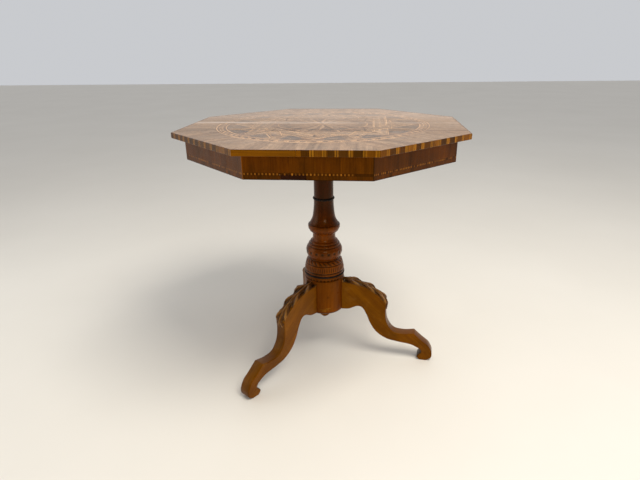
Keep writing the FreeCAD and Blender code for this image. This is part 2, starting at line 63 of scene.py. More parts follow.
# Places read from the frame
TOP_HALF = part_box("edge_band_3")[1].x
CORE_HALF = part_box("border_veneer")[1].x
TOP_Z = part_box("border_veneer")[1].z
VENEER_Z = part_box("border_veneer")[0].z
SLAB_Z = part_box("edge_band_3")[0].z
RING_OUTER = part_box("inlay_ring")[1].x
RING_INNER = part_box("field_veneer")[1].x
STAR_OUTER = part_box("star_inlay")[1].x
APRON_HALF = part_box("apron_veneer_3")[1].x
APRON_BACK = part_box("apron_veneer_3")[0].x
APRON_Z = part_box("apron_veneer_3")[0].z
REPAIR_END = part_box("edge_repair")[1].x
CORE_JOINTS = sorted({round(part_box(f"core_board_{k}")[0].y, 4) for k in range(2, 6)})

# The legs' angles round the column in degrees, and half their thickness in millimetres
LEG_ANGLES = {"leg_front_left": 234.0, "leg_front_right": 354.0, "leg_back": 114.0}
HALF_LEG = 17.0


# ---------------------------------------------------------------- meshes

def add_object(name, data):
    """Makes an object of a mesh, light or camera, and puts it into the scene."""
    made = bpy.data.objects.new(name, data)
    bpy.context.scene.collection.objects.link(made)
    return made


def solid(n, flipped=False):
    """The faces of a solid between two rings of n points: its two ends, then its sides."""
    sides = [[i, (i + 1) % n, n + (i + 1) % n, n + i] for i in range(n)]
    faces = [list(range(n - 1, -1, -1)), list(range(n, 2 * n)), *sides]
    return [face[::-1] for face in faces] if flipped else faces


class Pieces:
    """Collects the faces of one mesh, each with its own tint and grain direction, and its random numbers."""

    def __init__(self, seed=0):
        self.rng = random.Random(seed)
        self.points, self.faces, self.tints, self.grains, self.smooth = [], [], [], [], []

    def face(self, corners, tint, grains, smooth):
        """Adds one face between points, with one tint or a tint for each corner."""
        self.faces.append(corners)
        self.tints.append(tint)
        self.grains.append(grains)
        self.smooth.append(smooth)

    def add(self, points, faces, tint, along, across, seed=0.0, smooth=False):
        """Adds a solid or patch, its grain along one direction. A list of tints has one for each face."""
        base = len(self.points)
        along, across = Vector(along).normalized(), Vector(across).normalized()
        third = along.cross(across)
        self.points += [tuple(p) for p in points]
        grains = [(p.dot(along) + seed, p.dot(across) + 3.7 * seed, p.dot(third) + 1.3 * seed)
                  for p in map(Vector, points)]
        for face, shade in zip(faces, tint if isinstance(tint, list) else [tint] * len(faces)):
            self.face([base + i for i in face], shade, [grains[i] for i in face], smooth)

    def slab(self, outline, low, high, tint, along, seed):
        """A flat tile between two heights, from an anticlockwise outline of (x, y) points."""
        points = [(x, y, z) for z in (low, high) for x, y in outline]
        across = (-along[1], along[0], 0)
        self.add(points, solid(len(outline)), tint, (along[0], along[1], 0), across, seed)

    def build(self, name, look, body, stands_for):
        """Makes the mesh's object, gives it its material and lets it ride on a body."""
        mesh = bpy.data.meshes.new(name)
        mesh.from_pydata(self.points, [], self.faces)
        colours, vectors = [], []
        for face, tint, grains in zip(self.faces, self.tints, self.grains):
            corners = tint if isinstance(tint[0], (tuple, list)) else [tint] * len(face)
            for colour, grain in zip(corners, grains):
                colours += [*colour, 1.0]
                vectors += grain
        mesh.attributes.new("tint", "FLOAT_COLOR", "CORNER").data.foreach_set("color", colours)
        mesh.attributes.new("grain", "FLOAT_VECTOR", "CORNER").data.foreach_set("vector", vectors)
        mesh.polygons.foreach_set("use_smooth", self.smooth)
        mesh.update()
        mesh.materials.append(look.material)
        piece = add_object(name, mesh)
        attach(piece, body)
        if stands_for:
            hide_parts(*stands_for)
        return piece


def polar(radius, angle):
    """The (x, y) point at a radius and an angle in radians."""
    return radius * math.cos(angle), radius * math.sin(angle)


def direction(angle):
    return (*polar(1.0, angle), 0)


def side_axes(number):
    """The outward and the rightward direction of a side, seen from outside. Side 1 is the front."""
    out = math.radians(-90 + 45 * (number - 1))
    return Vector((math.cos(out), math.sin(out), 0)), Vector((-math.sin(out), math.cos(out), 0))


def varied(colour, rng, spread):
    """A colour made a little lighter or darker, and a little warmer or cooler."""
    light = 1 + rng.uniform(-spread, spread)
    warm = rng.uniform(-spread, spread) * 0.25
    return colour[0] * light * (1 + warm), colour[1] * light, colour[2] * light * (1 - warm)


def ease(value, low, high):
    """Rises smoothly from 0 at low to 1 at high."""
    x = max(0.0, min(1.0, (value - low) / (high - low)))
    return x * x * (3 - 2 * x)


def smooth_through(points, steps):
    """A curve through (x, y) points, as a centripetal Catmull-Rom spline."""
    pts = [Vector((*p, 0)) for p in points]
    pts = [pts[0] * 2 - pts[1]] + pts + [pts[-1] * 2 - pts[-2]]
    found = []
    for four in zip(pts, pts[1:], pts[2:], pts[3:]):
        knots = [0.0]
        for a, b in zip(four, four[1:]):
            knots.append(knots[-1] + (b - a).length ** 0.5)
        for k in range(steps):
            t = knots[1] + (knots[2] - knots[1]) * k / steps
            row = four
            for spans in (((0, 1), (1, 2), (2, 3)), ((0, 2), (1, 3)), ((1, 2),)):
                ends = [(knots[i], knots[j]) for i, j in spans]
                row = [a * ((t1 - t) / (t1 - t0)) + b * ((t - t0) / (t1 - t0))
                       for (t0, t1), a, b in zip(ends, row, row[1:])]
            found.append(row[0])
    return found + [pts[-2]]


# ---------------------------------------------------------------- materials

class Nodes:
    """A few short calls for building a tree of nodes."""

    def __init__(self, owner):
        owner.use_nodes = True
        self.tree = owner.node_tree

    def feed(self, socket, value):
        """Links a socket, or sets its value. A colour gets its alpha."""
        if isinstance(value, bpy.types.NodeSocket):
            self.tree.links.new(value, socket)
        else:
            socket.default_value = (*value, 1.0) if socket.type == "RGBA" else value

    def make(self, kind, values, output=0, **settings):
        """One output of a new node, whose inputs are fed from sockets or values."""
        made = self.tree.nodes.new(kind)
        for key, value in settings.items():
            setattr(made, key, value)
        for key, value in values.items():
            self.feed(made.inputs[key], value)
        return made.outputs[output]

    def maths(self, operation, a, b=0.0):
        return self.make("ShaderNodeMath", {0: a, 1: b}, operation=operation)

    def product(self, *factors):
        found = factors[0]
        for factor in factors[1:]:
            found = self.maths("MULTIPLY", found, factor)
        return found

    def scaled(self, vector, factors):
        return self.make("ShaderNodeVectorMath", {0: vector, 1: factors}, operation="MULTIPLY")

    def moved(self, vector, offset):
        return self.make("ShaderNodeVectorMath", {0: vector, 1: offset}, operation="ADD")

    def times(self, vector, factor):
        return self.make("ShaderNodeVectorMath", {0: vector, "Scale": factor}, operation="SCALE")

    def noise(self, vector, scale=1.0, detail=3.0, roughness=0.55, output="Fac"):
        values = {"Vector": vector, "Scale": scale, "Detail": detail, "Roughness": roughness}
        return self.make("ShaderNodeTexNoise", values, output)

    def spread(self, value, low, high, to_low=0.0, to_high=1.0, **settings):
        values = {"Value": value, "From Min": low, "From Max": high, "To Min": to_low, "To Max": to_high}
        return self.make("ShaderNodeMapRange", values, "Result", clamp=True, **settings)

    def mix(self, factor, a, b, blend="MIX"):
        values = {"Factor": factor, "A": a, "B": b}
        return self.make("ShaderNodeMix", values, "Result", data_type="RGBA", blend_type=blend)

    def total(self, *terms):
        """The sum of values, each times its weight."""
        found = None
        for value, weight in terms:
            part = self.product(value, weight)
            found = part if found is None else self.maths("ADD", found, part)
        return found

    def axis(self, number, output="Object"):
        """One coordinate of the position in the row frame, or of a world's direction."""
        return self.make("ShaderNodeSeparateXYZ", {0: self.here(output)}, number)

    def here(self, output="Object"):
        return self.make("ShaderNodeTexCoord", {}, output)


class Shader(Nodes):
    """A material's nodes, and its surface."""

    def __init__(self, name):
        self.material = bpy.data.materials.new(name)
        super().__init__(self.material)
        self.bsdf = self.tree.nodes["Principled BSDF"]

    def surface(self, **values):
        """Feeds inputs of the surface. A name's underscores stand for spaces."""
        for name, value in values.items():
            self.feed(self.bsdf.inputs[name.replace("_", " ")], value)

    def attribute(self, name, output):
        return self.make("ShaderNodeAttribute", {}, output, attribute_name=name)

    def bump(self, height, distance):
        values = {"Strength": 1.0, "Distance": distance, "Height": height}
        self.surface(Normal=self.make("ShaderNodeBump", values, "Normal"))


def wood(name, dark, light, turn=None, streaks=70.0, pores=0.5, figure=0.35, rough=0.42, coat=0.0,
         coat_rough=0.12, dirt=0.0, dirt_colour=(0.03, 0.018, 0.01), wear=0.0, wear_colour=(0.5, 0.36, 0.22),
         relief=0.00012, fine=0.38, specular=0.5, gloss_tint=(1.0, 0.5, 0.08)):
    """A wood with streaks, fine lines, pores, a wavy figure, and old polish that varies in gloss.

    The grain follows the mesh's own attribute or, if a turn is given, the frame turned by three angles."""
    s = Shader(name)
    if turn is None:
        v = s.attribute("grain", "Vector")
    else:
        v = s.make("ShaderNodeMapping", {"Vector": s.here(), "Rotation": turn}, "Vector")
    warp = s.noise(s.scaled(v, (5.0, 14.0, 14.0)), detail=2.0, output="Color")
    warp = s.scaled(s.moved(warp, (-0.5, -0.5, -0.5)), (0.0, 0.02, 0.02))
    wavy = s.moved(v, warp)
    broad = s.noise(s.scaled(wavy, (2.2, streaks * 0.4, streaks * 0.4)), detail=4.0, roughness=0.6)
    lines = s.noise(s.scaled(wavy, (9.0, streaks * 6, streaks * 6)), detail=4.0, roughness=0.65)
    pore = s.noise(s.scaled(wavy, (110.0, 2600.0, 2600.0)), detail=1.0)
    tone = s.spread(s.total((broad, 1 - fine), (lines, fine)), 0.36, 0.64)
    cloud = s.spread(s.noise(v, scale=9.0), 0.3, 0.7, 1.0 - figure, 1.0 + figure * 0.6)
    colour = s.times(s.mix(tone, dark, light), cloud)
    if turn is None:
        colour = s.mix(1.0, colour, s.attribute("tint", "Color"), "MULTIPLY")
    open_pore = s.spread(pore, 0.60, 0.70, 0.0, pores)
    colour = s.mix(open_pore, colour, tuple(c * 0.25 for c in dark))
    scuff = s.noise(s.moved(s.here(), (1.7, 0.3, 0.9)), scale=34.0, detail=6.0, roughness=0.7)
    if wear:
        colour = s.mix(s.spread(scuff, 0.55, 0.72, 0.0, wear), colour, wear_colour)
    if dirt:
        grime = s.noise(s.here(), scale=21.0, detail=5.0, roughness=0.65)
        colour = s.mix(s.spread(grime, 0.5, 0.75, 0.0, dirt), colour, dirt_colour)
    s.surface(Base_Color=colour, Roughness=s.spread(scuff, 0.3, 0.7, rough - 0.07, rough + 0.12),
              Specular_IOR_Level=specular, Specular_Tint=gloss_tint, Coat_Weight=coat,
              Coat_Tint=(1.0, 0.85, 0.62), Coat_Roughness=coat_rough)
    s.bump(s.total((tone, 0.4), (open_pore, -0.8), (scuff, 0.5)), relief)
    return s


# Bands across the top, in metres along Y: where a change of tone begins and ends, and the tones there
AGED_BANDS = (
    (0.07, 0.22, 1.0, 1.15), (-0.113, -0.012, 0.78, 1.0), (-0.125, -0.117, 1.13, 1.0),
    (-0.25, -0.17, 1.09, 1.0),
)
# Haze over the top: where along Y it begins and ends, how much there is at the two, and its colour
HAZE = ((-0.105, -0.055, 0.0, 0.36, (0.27, 0.185, 0.125)), (0.05, 0.17, 0.0, 0.2, (0.43, 0.37, 0.33)))
# How far the pale streak lies in front of the last joint but one
STREAK_OFFSET = 0.02


def old_top(s, joints):
    """Makes a wood dry and greyed by light, with the core's joints showing through as faint cracks.

    Each board under the veneer has aged it to a tone of its own, in bands across the top."""
    colour = s.bsdf.inputs["Base Color"].links[0].from_socket
    here, x, y = s.here(), s.axis(0), s.axis(1)
    wander = s.product(s.maths("SUBTRACT", s.noise(s.scaled(here, (6.0, 0.0, 0.0))), 0.5), 0.006)

    def away_from(line):
        return s.maths("ABSOLUTE", s.maths("ADD", s.maths("SUBTRACT", y, line), wander))

    crack = 0.0
    for joint in joints:
        away = away_from(joint)
        for far, strength, near in ((0.0016, 1.0, 0.0004), (0.009, 0.35, 0.0015)):
            crack = s.maths("MAXIMUM", crack, s.spread(away, near, far, strength, 0.0))
    broken = s.spread(s.noise(s.scaled(here, (16.0, 2.0, 0.0)), detail=4.0), 0.35, 0.6)
    bloom = s.noise(s.moved(here, (0.2, 4.1, 0.0)), scale=5.0, detail=5.0, roughness=0.6)
    colour = s.mix(s.spread(bloom, 0.3, 0.75, 0.05, 0.28), colour, (0.38, 0.30, 0.25))
    for low, high, less, more, shade in HAZE:
        colour = s.mix(s.spread(y, low, high, less, more), colour, shade)
    tone = s.spread(s.noise(here, scale=130.0, detail=6.0, roughness=0.75), 0.32, 0.68, 0.74, 1.24)
    for low, high, below, above in AGED_BANDS:
        tone = s.product(tone, s.spread(s.maths("ADD", y, wander), low, high, below, above))
    colour = s.times(colour, tone)
    # A pale streak beside a joint, strongest on the left
    streak = s.product(s.spread(away_from(joints[-2] - STREAK_OFFSET), 0.006, 0.028, 0.5, 0.0),
                       s.spread(x, -0.05, 0.16, 1.0, 0.25),
                       s.spread(s.noise(s.scaled(here, (9.0, 60.0, 0.0))), 0.35, 0.6))
    colour = s.mix(streak, colour, (0.62, 0.53, 0.46))
    s.surface(Base_Color=s.mix(s.product(crack, broken, 0.6), colour, (0.10, 0.055, 0.03)))
    return s


def metal(name, colour, rough, tarnish_colour, tarnish):
    """Old metal: brushed, with tarnish in patches."""
    s = Shader(name)
    patch = s.noise(s.here(), scale=160.0, detail=6.0, roughness=0.65)
    fine = s.noise(s.scaled(s.here(), (300.0, 4000.0, 900.0)), detail=2.0)
    s.surface(Base_Color=s.mix(s.spread(patch, 0.42, 0.62, 0.0, tarnish), colour, tarnish_colour),
              Metallic=1.0, Roughness=s.spread(patch, 0.3, 0.7, rough, rough + 0.25))
    s.bump(s.total((patch, 1.0), (fine, 0.4)), 0.00006)
    return s


def ebony(name):
    """Black stained and polished wood, with brown showing where it is rubbed."""
    s = Shader(name)
    rubbed = s.noise(s.here(), scale=90.0, detail=5.0, roughness=0.7)
    streak = s.noise(s.scaled(s.here(), (500.0, 500.0, 60.0)))
    colour = s.mix(s.spread(streak, 0.4, 0.7), (0.006, 0.005, 0.005), (0.016, 0.011, 0.008))
    s.surface(Base_Color=s.mix(s.spread(rubbed, 0.58, 0.72, 0.0, 0.55), colour, (0.10, 0.045, 0.015)),
              Roughness=s.spread(rubbed, 0.3, 0.7, 0.34, 0.5), Specular_IOR_Level=0.08)
    s.bump(streak, 0.00008)
    return s


def pale_floor():
    """A plain pale floor with a very faint unevenness."""
    s = Shader("pale_floor")
    soft = s.spread(s.noise(s.here(), scale=1.3, detail=4.0), 0.3, 0.7)
    s.surface(Base_Color=s.mix(soft, (0.66, 0.62, 0.55), (0.69, 0.65, 0.58)), Roughness=0.6)
    return s


def bare(name, turn, dark=(0.40, 0.26, 0.13), light=(0.62, 0.45, 0.26)):
    """Unpolished, aged wood of a hidden part."""
    return wood(name, dark, light, turn=turn, streaks=38.0, pores=0.3, figure=0.3, rough=0.66, dirt=0.4,
                dirt_colour=(0.12, 0.07, 0.035), relief=0.0003)


SOOT = (0.02, 0.008, 0.002)
TOP_WOOD = old_top(wood("top_marquetry", (0.125, 0.072, 0.040), (0.375, 0.241, 0.146), streaks=165.0,
                        pores=0.7, figure=0.2, rough=0.47, wear=0.3, wear_colour=(0.47, 0.36, 0.26),
                        fine=0.35, relief=0.0001, specular=0.4, gloss_tint=(1.0, 0.95, 0.9)), CORE_JOINTS)
EDGE_WOOD = wood("edge_banding", (0.118, 0.038, 0.001), (0.27, 0.102, 0.004), streaks=90.0, pores=0.4,
                 figure=0.2, rough=0.3, dirt=0.35, specular=0.45)
APRON_WOOD = wood("apron_veneer", (0.055, 0.0125, 0.0003), (0.172, 0.0445, 0.0008), streaks=80.0,
                  figure=0.3, rough=0.36, dirt=0.35, dirt_colour=SOOT, specular=0.3)
COLUMN_WOOD = wood("column_polish", (0.058, 0.0105, 0.0002), (0.180, 0.0405, 0.0006), streaks=60.0,
                   pores=0.45, figure=0.3, rough=0.27, coat=0.1, coat_rough=0.14, dirt=0.45,
                   dirt_colour=(0.016, 0.006, 0.002), specular=0.22)
LEG_WOOD = wood("leg_polish", (0.104, 0.0275, 0.0002), (0.232, 0.0770, 0.0006), streaks=45.0, pores=0.35,
                figure=0.25, rough=0.32, dirt=0.3, dirt_colour=SOOT, wear=0.12,
                wear_colour=(0.42, 0.22, 0.06), specular=0.24)
LEAF_WOOD = wood("carved_leaf", (0.62, 0.60, 0.58), (1.2, 1.15, 1.1), streaks=60.0, pores=0.3, figure=0.25,
                 rough=0.34, coat=0.12, relief=0.0002, specular=0.35)
GLUE_GROUND = wood("bare_ground", (0.018, 0.005, 0.003), (0.055, 0.016, 0.008), streaks=160.0, pores=0.7,
                   figure=0.4, rough=0.8, relief=0.0005, specular=0.12)
EBONY = ebony("ebonised")
BRASS = metal("old_brass", (0.60, 0.43, 0.17), 0.3, (0.14, 0.085, 0.03), 0.7)
IRON = metal("old_iron", (0.30, 0.28, 0.26), 0.45, (0.10, 0.045, 0.02), 0.6)


# ---------------------------------------------------------------- the top's marquetry

EIGHTH = 2 * math.pi / SIDES
QUARTER = math.pi / 2
SEGMENTS = 192

LIGHT = (2.2, 2.08, 1.82)
MID = (0.98, 0.96, 0.93)
BROWN = (0.76, 0.69, 0.65)
SLATE = (0.47, 0.53, 0.66)
DARK = (0.34, 0.28, 0.26)
DASH_LIGHT = (1.9, 1.74, 1.45)
STAR_LIGHT = (1.55, 1.48, 1.34)

# Inlays stand above their ground by whole steps of this lift
INLAY_LIFT = 0.00006
BASE_TOP = TOP_Z - 3 * INLAY_LIFT

# The ring's bands from the inside out, as (width, tint). The one without a tint holds the dashes
RING_BANDS = (
    (0.0018, DARK), (0.0032, LIGHT), (0.0072, BROWN), (0.0012, LIGHT), (0.0075, None), (0.0012, LIGHT),
    (0.0034, BROWN), (0.0014, DARK), (0.0037, LIGHT), (0.0014, DARK),
)
DASHES = 136

STRAP_OUTER = 0.1755
STRAP_INNER = 0.1365
STRINGS = ((0.0024, "string"), (0.0038, "shadow"), (0.0054, "string"))
STRAP_LOOKS = {"string": (LIGHT, 0.05, 0.0), "shadow": (DARK, 0.08, 0.2), "strap": (MID, 0.12, 0.4)}
NOTCH_CUTS = (math.radians(5.0), math.radians(16.0))
# The chips' places along a strap, and how far they turn from its direction
CHIPS = (-0.044, -0.022, 0.0, 0.022, 0.044, -0.098, 0.098, -0.118, 0.118)
CHIP_SLANT = 0.35
# Strings and a row of dashes in one half of a quarter of the field, as (sideways, ahead) points
KNOT_STRINGS = (
    ((0.080, 0.190), (0.096, 0.130)), ((0.095, 0.220), (0.117, 0.165)), ((0.102, 0.222), (0.123, 0.169)),
    ((0.096, 0.131), (0.142, 0.148)), ((0.030, 0.187), (0.079, 0.184)),
)
KNOT_DASHES = ((0.061, 0.1135), (0.116, 0.1185))
KNOT_DASH_COUNT = 7
# Lozenges between two points of the star, as (part of the way on, half length, half width)
GROUND_LOZENGES = ((0.5, 0.019, 0.006), (0.25, 0.010, 0.003), (0.75, 0.010, 0.003))
MEDALLION = STAR_OUTER + 0.004
MEDALLION_DASHES = 96
STAR_POINTS = 16
STAR_SHORT = 0.096
STAR_INNER = 0.052


def round_angles(count):
    return [2 * math.pi * k / count for k in range(count)]


def circle(radius):
    return [polar(radius, angle) for angle in round_angles(SEGMENTS)]


def annulus(inner, outer, segments=SEGMENTS):
    """The points and faces of a flat ring."""
    n = 2 * segments
    points = [(*polar(radius, angle), 0) for angle in round_angles(segments) for radius in (inner, outer)]
    return points, [[k, k + 1, (k + 3) % n, (k + 2) % n] for k in range(0, n, 2)]


def flat_cuts(points, faces, planes):
    """Cuts a flat mesh along straight lines, given as (normal angle, distance from the centre)."""
    bm = bmesh.new()
    verts = [bm.verts.new(p) for p in points]
    for face in faces:
        bm.faces.new([verts[i] for i in face])
    for angle, distance in planes:
        normal = Vector(direction(angle))
        bmesh.ops.bisect_plane(bm, geom=bm.verts[:] + bm.edges[:] + bm.faces[:], dist=1e-7,
                               plane_co=normal * distance, plane_no=normal)
    bmesh.ops.dissolve_degenerate(bm, dist=1e-6, edges=bm.edges[:])
    found = [[v.co.copy() for v in f.verts] for f in bm.faces]
    bm.free()
    return found


def flat(pieces, corners, tint, along, across, seed):
    """Adds one face at the height of the ground."""
    points = [(p[0], p[1], BASE_TOP) for p in corners]
    pieces.add(points, [list(range(len(points)))], tint, along, across, seed)


def sheet(pieces, faces, look):
    """Adds flat faces, with the tint, grain angle and seed that a look gives for their middle."""
    for corners in faces:
        middle = sum(corners, Vector()) / len(corners)
        tint, angle, seed = look(middle.x, middle.y)
        flat(pieces, corners, tint, direction(angle), direction(angle + QUARTER), seed)


def rim(pieces, outline, hollow=False):
    """Adds the wall round a sheet, or round a hole in it."""
    points = [(x, y, z) for z in (VENEER_Z, BASE_TOP) for x, y in outline]
    pieces.add(points, solid(len(outline), hollow)[2:], BROWN, (1, 0, 0), (0, 1, 0))


def inlay(pieces, outline, tint, spread, along, lift, seeds=5):
    """Adds a tile that goes through the veneer and stands above its ground."""
    pieces.slab([(p[0], p[1]) for p in outline], VENEER_Z, BASE_TOP + lift * INLAY_LIFT,
                varied(tint, pieces.rng, spread), along, pieces.rng.uniform(0, seeds))


def string(pieces, start, end, width, lift=2):
    """A thin straight light inlay between two points."""
    a, b = (Vector((p[0], p[1], 0)) for p in (start, end))
    along = (b - a).normalized()
    side = Vector((-along.y, along.x, 0)) * width / 2
    inlay(pieces, (a - side, b - side, b + side, a + side), LIGHT, 0.08, along, lift)


def lozenge(pieces, centre, long_half, short_half, angle, tint, lift=1):
    """A diamond-shaped inlay, split along its length into a lighter and a darker half."""
    c = Vector((centre[0], centre[1], 0))
    along, side = Vector(direction(angle)), Vector(direction(angle + QUARTER))
    for sign, shade in ((1, 1.0), (-1, 0.72)):
        outline = (c + along * long_half, c + side * short_half * sign, c - along * long_half)[::sign]
        inlay(pieces, outline, tuple(t * shade for t in tint), 0.06, along, lift)


def make_border():
    """The octagonal border outside the ring, of narrow leaves with their grain square to each edge."""
    pieces = Pieces(11)
    per_side = SEGMENTS // SIDES
    leaves = 6
    outer_edge = []
    for side in range(1, SIDES + 1):
        out, right = side_axes(side)
        middle = math.atan2(out.y, out.x)
        tints = [varied(MID, pieces.rng, 0.10) for _ in range(leaves)]
        seeds = [pieces.rng.uniform(0, 9) for _ in range(leaves)]
        for i in range(per_side):
            inner, outer = [], []
            for j in (0, 1):
                angle = middle - HALF_ANGLE + 2 * HALF_ANGLE * (i + j) / per_side
                far = out * CORE_HALF + right * (math.tan(angle - middle) * CORE_HALF)
                inner.append(polar(RING_OUTER, angle))
                outer.append((far.x, far.y))
            leaf = i * leaves // per_side
            flat(pieces, (inner[0], *outer, inner[1]), tints[leaf], out, right, seeds[leaf])
            outer_edge.append(outer[0])
    rim(pieces, outer_edge)
    rim(pieces, circle(RING_OUTER), hollow=True)
    pieces.build("border_marquetry", TOP_WOOD, "top", ["border_veneer"])


def make_ring():
    """The round band: strings on both sides of a row of slanting light and dark dashes."""
    pieces = Pieces(12)
    low = RING_INNER
    for width, tint in RING_BANDS:
        high = low + width
        if tint:
            points, faces = annulus(low, high)
            for number, face in enumerate(faces):
                angle = 2 * math.pi * (number + 0.5) / SEGMENTS
                length = number // 12
                chosen = varied(tint, random.Random(length * 7 + int(high * 1e5)), 0.09)
                flat(pieces, [points[i] for i in face], chosen, direction(angle + QUARTER), direction(angle),
                     length * 0.37)
        else:
            slant = 0.5 * (high - low) / low
            for number in range(DASHES):
                start, end = (2 * math.pi * k / DASHES for k in (number, number + 1))
                shade = DASH_LIGHT if number % 2 else (DARK if number % 4 else SLATE)
                corners = (polar(low, start), polar(high, start + slant), polar(high, end + slant),
                           polar(low, end))
                flat(pieces, corners, varied(shade, pieces.rng, 0.12), direction((start + end) / 2),
                     direction(start + QUARTER), pieces.rng.uniform(0, 9))
        low = high
    rim(pieces, circle(RING_OUTER))
    rim(pieces, circle(RING_INNER), hollow=True)
    pieces.build("ring_marquetry", TOP_WOOD, "top", ["inlay_ring"])


def strap_at(x, y):
    """What lies at a point of the field, and the number of that strap or region. Straps pass over in turn."""
    reach = [x * math.cos(j * EIGHTH) + y * math.sin(j * EIGHTH) for j in range(SIDES)]
    highest = [max(range(square, SIDES, 2), key=lambda j: reach[j]) for square in (0, 1)]
    covers = [strap for strap in highest if STRAP_INNER <= reach[strap] <= STRAP_OUTER]
    if covers:
        over = covers[0]
        if len(covers) == 2 and (covers[1] + 1) % SIDES == covers[0]:
            over = covers[1]
        near = min(reach[over] - STRAP_INNER, STRAP_OUTER - reach[over])
        return next((kind for depth, kind in STRINGS if near < depth), "strap"), over
    degrees = math.degrees(math.atan2(y, x))
    outside = [reach[strap] > STRAP_OUTER for strap in highest]
    if all(outside):
        return "notch", int(degrees // 45)
    return "point" if any(outside) else "octagon", int((degrees + 22.5) // 45)


def field_look(x, y):
    """Tint, grain angle and seed of the veneer at a point of the strapwork field."""
    kind, number = strap_at(x, y)
    angle = number * EIGHTH
    rng = random.Random(f"{kind}{number}")
    if kind in STRAP_LOOKS:
        tint, spread, shift = STRAP_LOOKS[kind]
        return varied(tint, rng, spread), angle + QUARTER, number + shift
    if kind == "notch":
        middle = angle + HALF_ANGLE
        off = (math.atan2(y, x) - middle + math.pi) % (2 * math.pi) - math.pi
        side = 1 if off > 0 else -1
        part = sum(abs(off) > limit for limit in NOTCH_CUTS)
        rng = random.Random(number * 6 + part * 2 + side)
        return varied((MID, SLATE, BROWN)[part], rng, 0.1), middle + side * (0.5 + part), part
    if kind == "point":
        split = 1 if x * math.sin(angle) < y * math.cos(angle) else -1
        return varied(MID if split > 0 else BROWN, rng, 0.08), angle + split * 0.4, number + 0.1 * split
    return varied(BROWN, rng, 0.10), angle, number + 0.7


def ground_look(x, y):
    """Tint, grain angle and seed of the sixteen sectors of the ground under the star."""
    sector = int(math.degrees(math.atan2(y, x)) // 22.5)
    return varied(MID if sector % 2 else BROWN, random.Random(sector), 0.1), sector * 0.4, sector


def make_field():
    """The field: two interlaced square straps with light strings, on brown and grey-blue pieces."""
    pieces = Pieces(13)
    planes = [(EIGHTH * k + shift, 0.0) for shift in (0.0, HALF_ANGLE) for k in range(4)]
    for cut in NOTCH_CUTS:
        planes += [(EIGHTH * k + HALF_ANGLE + sign * cut, 0.0) for k in range(4) for sign in (-1, 1)]
    for k in range(SIDES):
        for depth in (0.0, *(depth for depth, _ in STRINGS)):
            planes += [(EIGHTH * k, STRAP_INNER + depth), (EIGHTH * k, STRAP_OUTER - depth)]
    sheet(pieces, flat_cuts(*annulus(MEDALLION, RING_INNER), planes), field_look)
    for k in range(SIDES):
        angle = EIGHTH * k
        notch = angle + HALF_ANGLE
        out, along = Vector(direction(angle)), Vector(direction(angle + QUARTER))
        # A large lozenge and its string in each notch, and a small one and a string on both sides of it
        lozenge(pieces, polar(0.222, notch), 0.022, 0.0085, notch, MID)
        string(pieces, polar(0.200, notch), polar(0.250, notch), 0.0016)
        for sign in (-1, 1):
            tip = notch + sign * 0.17
            lozenge(pieces, polar(0.241, tip), 0.010, 0.0036, tip + sign * 0.9, MID)
            string(pieces, polar(0.186, angle + sign * 0.10), polar(0.226, angle + sign * 0.02), 0.002)
        # A dark lozenge in each point, and light chips along each strap
        lozenge(pieces, polar(0.198, angle), 0.013, 0.0055, angle, DARK)
        for offset in CHIPS:
            centre = out * ((STRAP_OUTER + STRAP_INNER) / 2) + along * offset
            lozenge(pieces, centre, 0.0085, 0.0032, angle + QUARTER + CHIP_SLANT, LIGHT)
        string(pieces, polar(MEDALLION + 0.002, notch), polar(0.146, notch), 0.0024)
    (x0, y0), (x1, y1) = KNOT_DASHES
    for k in range(4):
        ahead = Vector(direction(QUARTER * k))
        for sign in (-1, 1):
            beside = Vector((-ahead.y, ahead.x, 0)) * sign
            for ends in KNOT_STRINGS:
                string(pieces, *(ahead * y + beside * x for x, y in ends), 0.0023, 3)
            for j in range(KNOT_DASH_COUNT):
                part = j / (KNOT_DASH_COUNT - 1)
                spot = ahead * (y0 + (y1 - y0) * part) + beside * (x0 + (x1 - x0) * part)
                lozenge(pieces, spot, 0.0055, 0.0022, math.atan2(beside.y, beside.x), DARK, 2)
    sheet(pieces, flat_cuts(*annulus(0.0005, MEDALLION, 64), ()), ground_look)
    for k in range(STAR_POINTS):
        for offset, long_half, short_half in GROUND_LOZENGES:
            angle = 2 * math.pi * (k + offset) / STAR_POINTS
            lozenge(pieces, polar(0.104, angle), long_half, short_half, angle, SLATE)
    for k in range(MEDALLION_DASHES):
        start, end = (polar(MEDALLION, 2 * math.pi * part / MEDALLION_DASHES) for part in (k, k + 0.8))
        string(pieces, start, end, 0.0026)
    rim(pieces, circle(RING_INNER))
    pieces.build("field_marquetry", TOP_WOOD, "top", ["field_veneer"])


def make_star():
    """The star, each point split into a light and a dark facet, round a small rosette."""
    pieces = Pieces(14)
    for k in range(STAR_POINTS):
        angle = 2 * math.pi * k / STAR_POINTS
        for sign in (-1, 1):
            tip = polar(STAR_SHORT if k % 2 else STAR_OUTER, angle)
            hollow = polar(STAR_INNER, angle + sign * math.pi / STAR_POINTS)
            tint = STAR_LIGHT if sign > 0 else (DARK if k % 2 else BROWN)
            inlay(pieces, ((0.0, 0.0), *(tip, hollow)[::sign]), tint, 0.08, direction(angle), 1, 9)
    for k in range(SIDES):
        angle = EIGHTH * k + HALF_ANGLE
        lozenge(pieces, polar(0.017, angle), 0.014, 0.005, angle, LIGHT if k % 2 else MID, 2)
    pieces.build("star_marquetry", TOP_WOOD, "top", ["star_inlay"])


# ---------------------------------------------------------------- edge and apron

